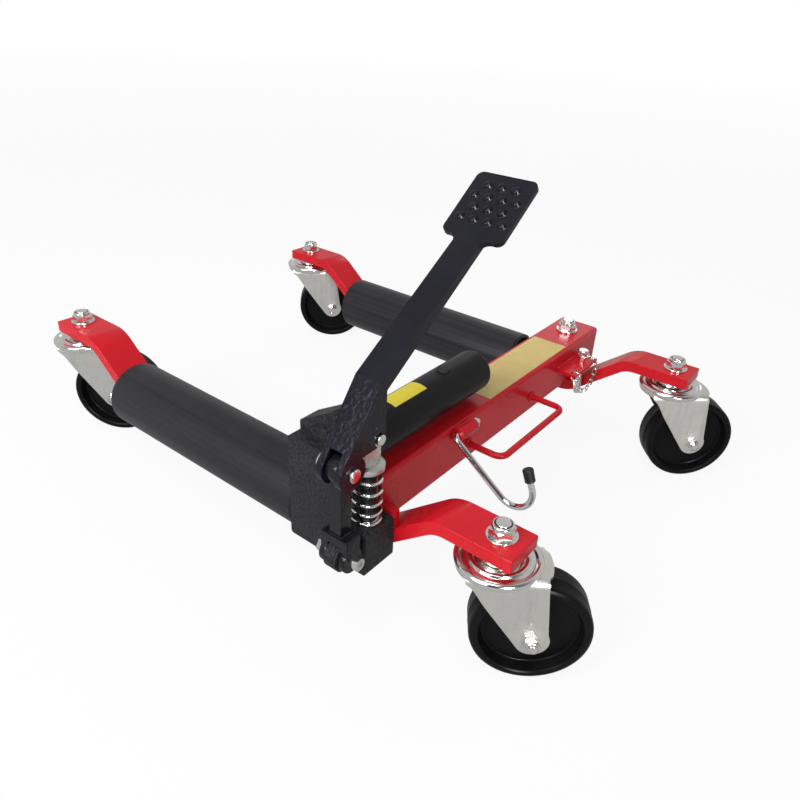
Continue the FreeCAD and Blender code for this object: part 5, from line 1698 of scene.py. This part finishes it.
# %% Pedal lever
LEVER_WIDTH = 24 * MM
LEVER_HALF = LEVER_WIDTH / 2
SHANK_STEP = 0.5 * MM
STEP_SLACK = 0.1
lever = welded("pedal_lever")
low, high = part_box("pedal_lever")
lever_middle = (low[1] + high[1]) / 2
for vert in lever.verts:
    side = vert.co.y - lever_middle
    if abs(abs(side) - LEVER_HALF + SHANK_STEP) < STEP_SLACK * SHANK_STEP:
        vert.co.y = lever_middle + math.copysign(LEVER_HALF, side)
merge_points(lever)
print("lever's step closed,", len(lever.verts), "points left")

# %% Places of the studs
PAD_TILT = math.radians(37)
PAD_LENGTH = 64 * MM
PAD_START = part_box("pedal_lever")[1][0] - PAD_LENGTH * math.cos(PAD_TILT)
PAD_UP = Vector((-math.sin(PAD_TILT), 0, math.cos(PAD_TILT)))
STUD_RISE = 2.6
STUD_SLACK = 0.02 * MM
pad_verts = [vert for vert in lever.verts if vert.co.x > PAD_START]
pad_level = max(vert.co.dot(PAD_UP) for vert in pad_verts) - STUD_RISE * MM
stud_faces = [face for face in lever.faces
              if face.calc_center_median().x > PAD_START
              and face.calc_center_median().dot(PAD_UP) > pad_level + STUD_SLACK]
stud_places = []
for group in islands(stud_faces):
    spot = middle_of(group)
    stud_places.append(spot + PAD_UP * (pad_level - spot.dot(PAD_UP)))
stud_places.sort(key=tuple)
print(len(stud_places), "studs found")

# %% Rounded lever and its domes
LEVER_ROUND = 2.2 * MM
LEVER_STEPS = 5
STUD_RADIUS = 4.2
STUD_FOOT = STUD_RADIUS + 0.5
DOME = [(0, -0.4, 0), (STUD_FOOT, -0.4, 0), (STUD_FOOT, 0, 0), (STUD_RADIUS, 0.15, 0.5),
        (STUD_RADIUS * 0.72, STUD_RISE * 0.8, 1.5), (STUD_RADIUS * 0.3, STUD_RISE, 2), (0, STUD_RISE, 0)]
bmesh.ops.delete(lever, geom=stud_faces, context="FACES")
bmesh.ops.holes_fill(lever, edges=[edge for edge in lever.edges if edge.is_boundary])
join_flats(lever)
mesh = round_edges(lever, "pedal_lever_casting", LEVER_ROUND, LEVER_STEPS)
set_piece(mesh.name, mesh, "lever_unit", "lever_black", "pedal_lever")
stud_ways = [PAD_UP] * len(stud_places)
mesh = on_points("pad_studs", lathe("dome", DOME, steps=32), stud_places, stud_ways, "lever_black")
set_piece(mesh.name, mesh, "lever_unit", "lever_black", "pedal_lever")
print(len(stud_places), "studs on the pad")

# %% [markdown]
# Two stickers: a sand one on the beam and a yellow one over the tank. Both are plain film. Each is a grid
# that follows the surface under it, given a little thickness. Colour painted into the material below
# would show no edge.

# %% Stickers
FILM = 0.14 * MM
FILM_LIFT = 0.02 * MM
BEAM_STICKER = ((-21.5, -170.8), (143.5, -129.4))
TANK_STICKER_ENDS = (-160.0, -115.6)
TANK_STICKER_ARC = (math.radians(66), math.radians(118))


def sticker(name, spot_of, rows, columns, body, finish):
    """A film over a surface: spot_of gives the place for two shares from 0 to 1."""
    grid = [[spot_of(row / rows, column / columns) for column in range(columns + 1)]
            for row in range(rows + 1)]
    holder = new_object(name, sheet_mesh(name, grid))
    solid = holder.modifiers.new("film", "SOLIDIFY")
    solid.thickness = FILM
    solid.offset = 1
    return set_piece(name, shade(evaluated_mesh(holder, name)), body, finish)


def on_beam(across, along):
    (start_x, start_y), (end_x, end_y) = BEAM_STICKER
    x = (start_x + (end_x - start_x) * along) * MM
    y = (start_y + (end_y - start_y) * across) * MM
    return Vector((x, y, beam_high[2] + FILM_LIFT))


def on_tank(around, along):
    start, end = TANK_STICKER_ENDS
    turn = TANK_STICKER_ARC[0] + (TANK_STICKER_ARC[1] - TANK_STICKER_ARC[0]) * around
    reach = TANK_RADIUS + FILM_LIFT
    x = (start + (end - start) * along) * MM
    return Vector((x, TANK_MIDDLE.y - reach * math.cos(turn), TANK_MIDDLE.z + reach * math.sin(turn)))


sticker("beam_sticker", on_beam, 2, 6, "beam_unit", "sand_sticker")
sticker("tank_sticker", on_tank, 16, 4, "pump_unit", "yellow_sticker")
print("stickers laid")

# %% [markdown]
# What the pieces above don't stand for keeps its solid, with the finish of its material slot.

# %% Finish of the remaining solids
for node, item in nodes.items():
    finish = finishes[slot_of[node]]
    if item.material_slots:
        for slot in item.material_slots:
            slot.material = finish
    else:
        item.data.materials.append(finish)
print(len(nodes), "solids have their finish")

# %% [markdown]
# Last, the chain is taken off its body with its place baked into its mesh, and the sizes are measured and printed.

# %% Sizes and finish
chain.parent = None
tuple(route[-1])
tuple(route[0])
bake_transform(chain)
visual_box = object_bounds()
sizes = {"cad": [list(corner) for corner in cad_box], "visual": [list(corner) for corner in visual_box]}
print("CAD box", sizes["cad"], "visual box", sizes["visual"])
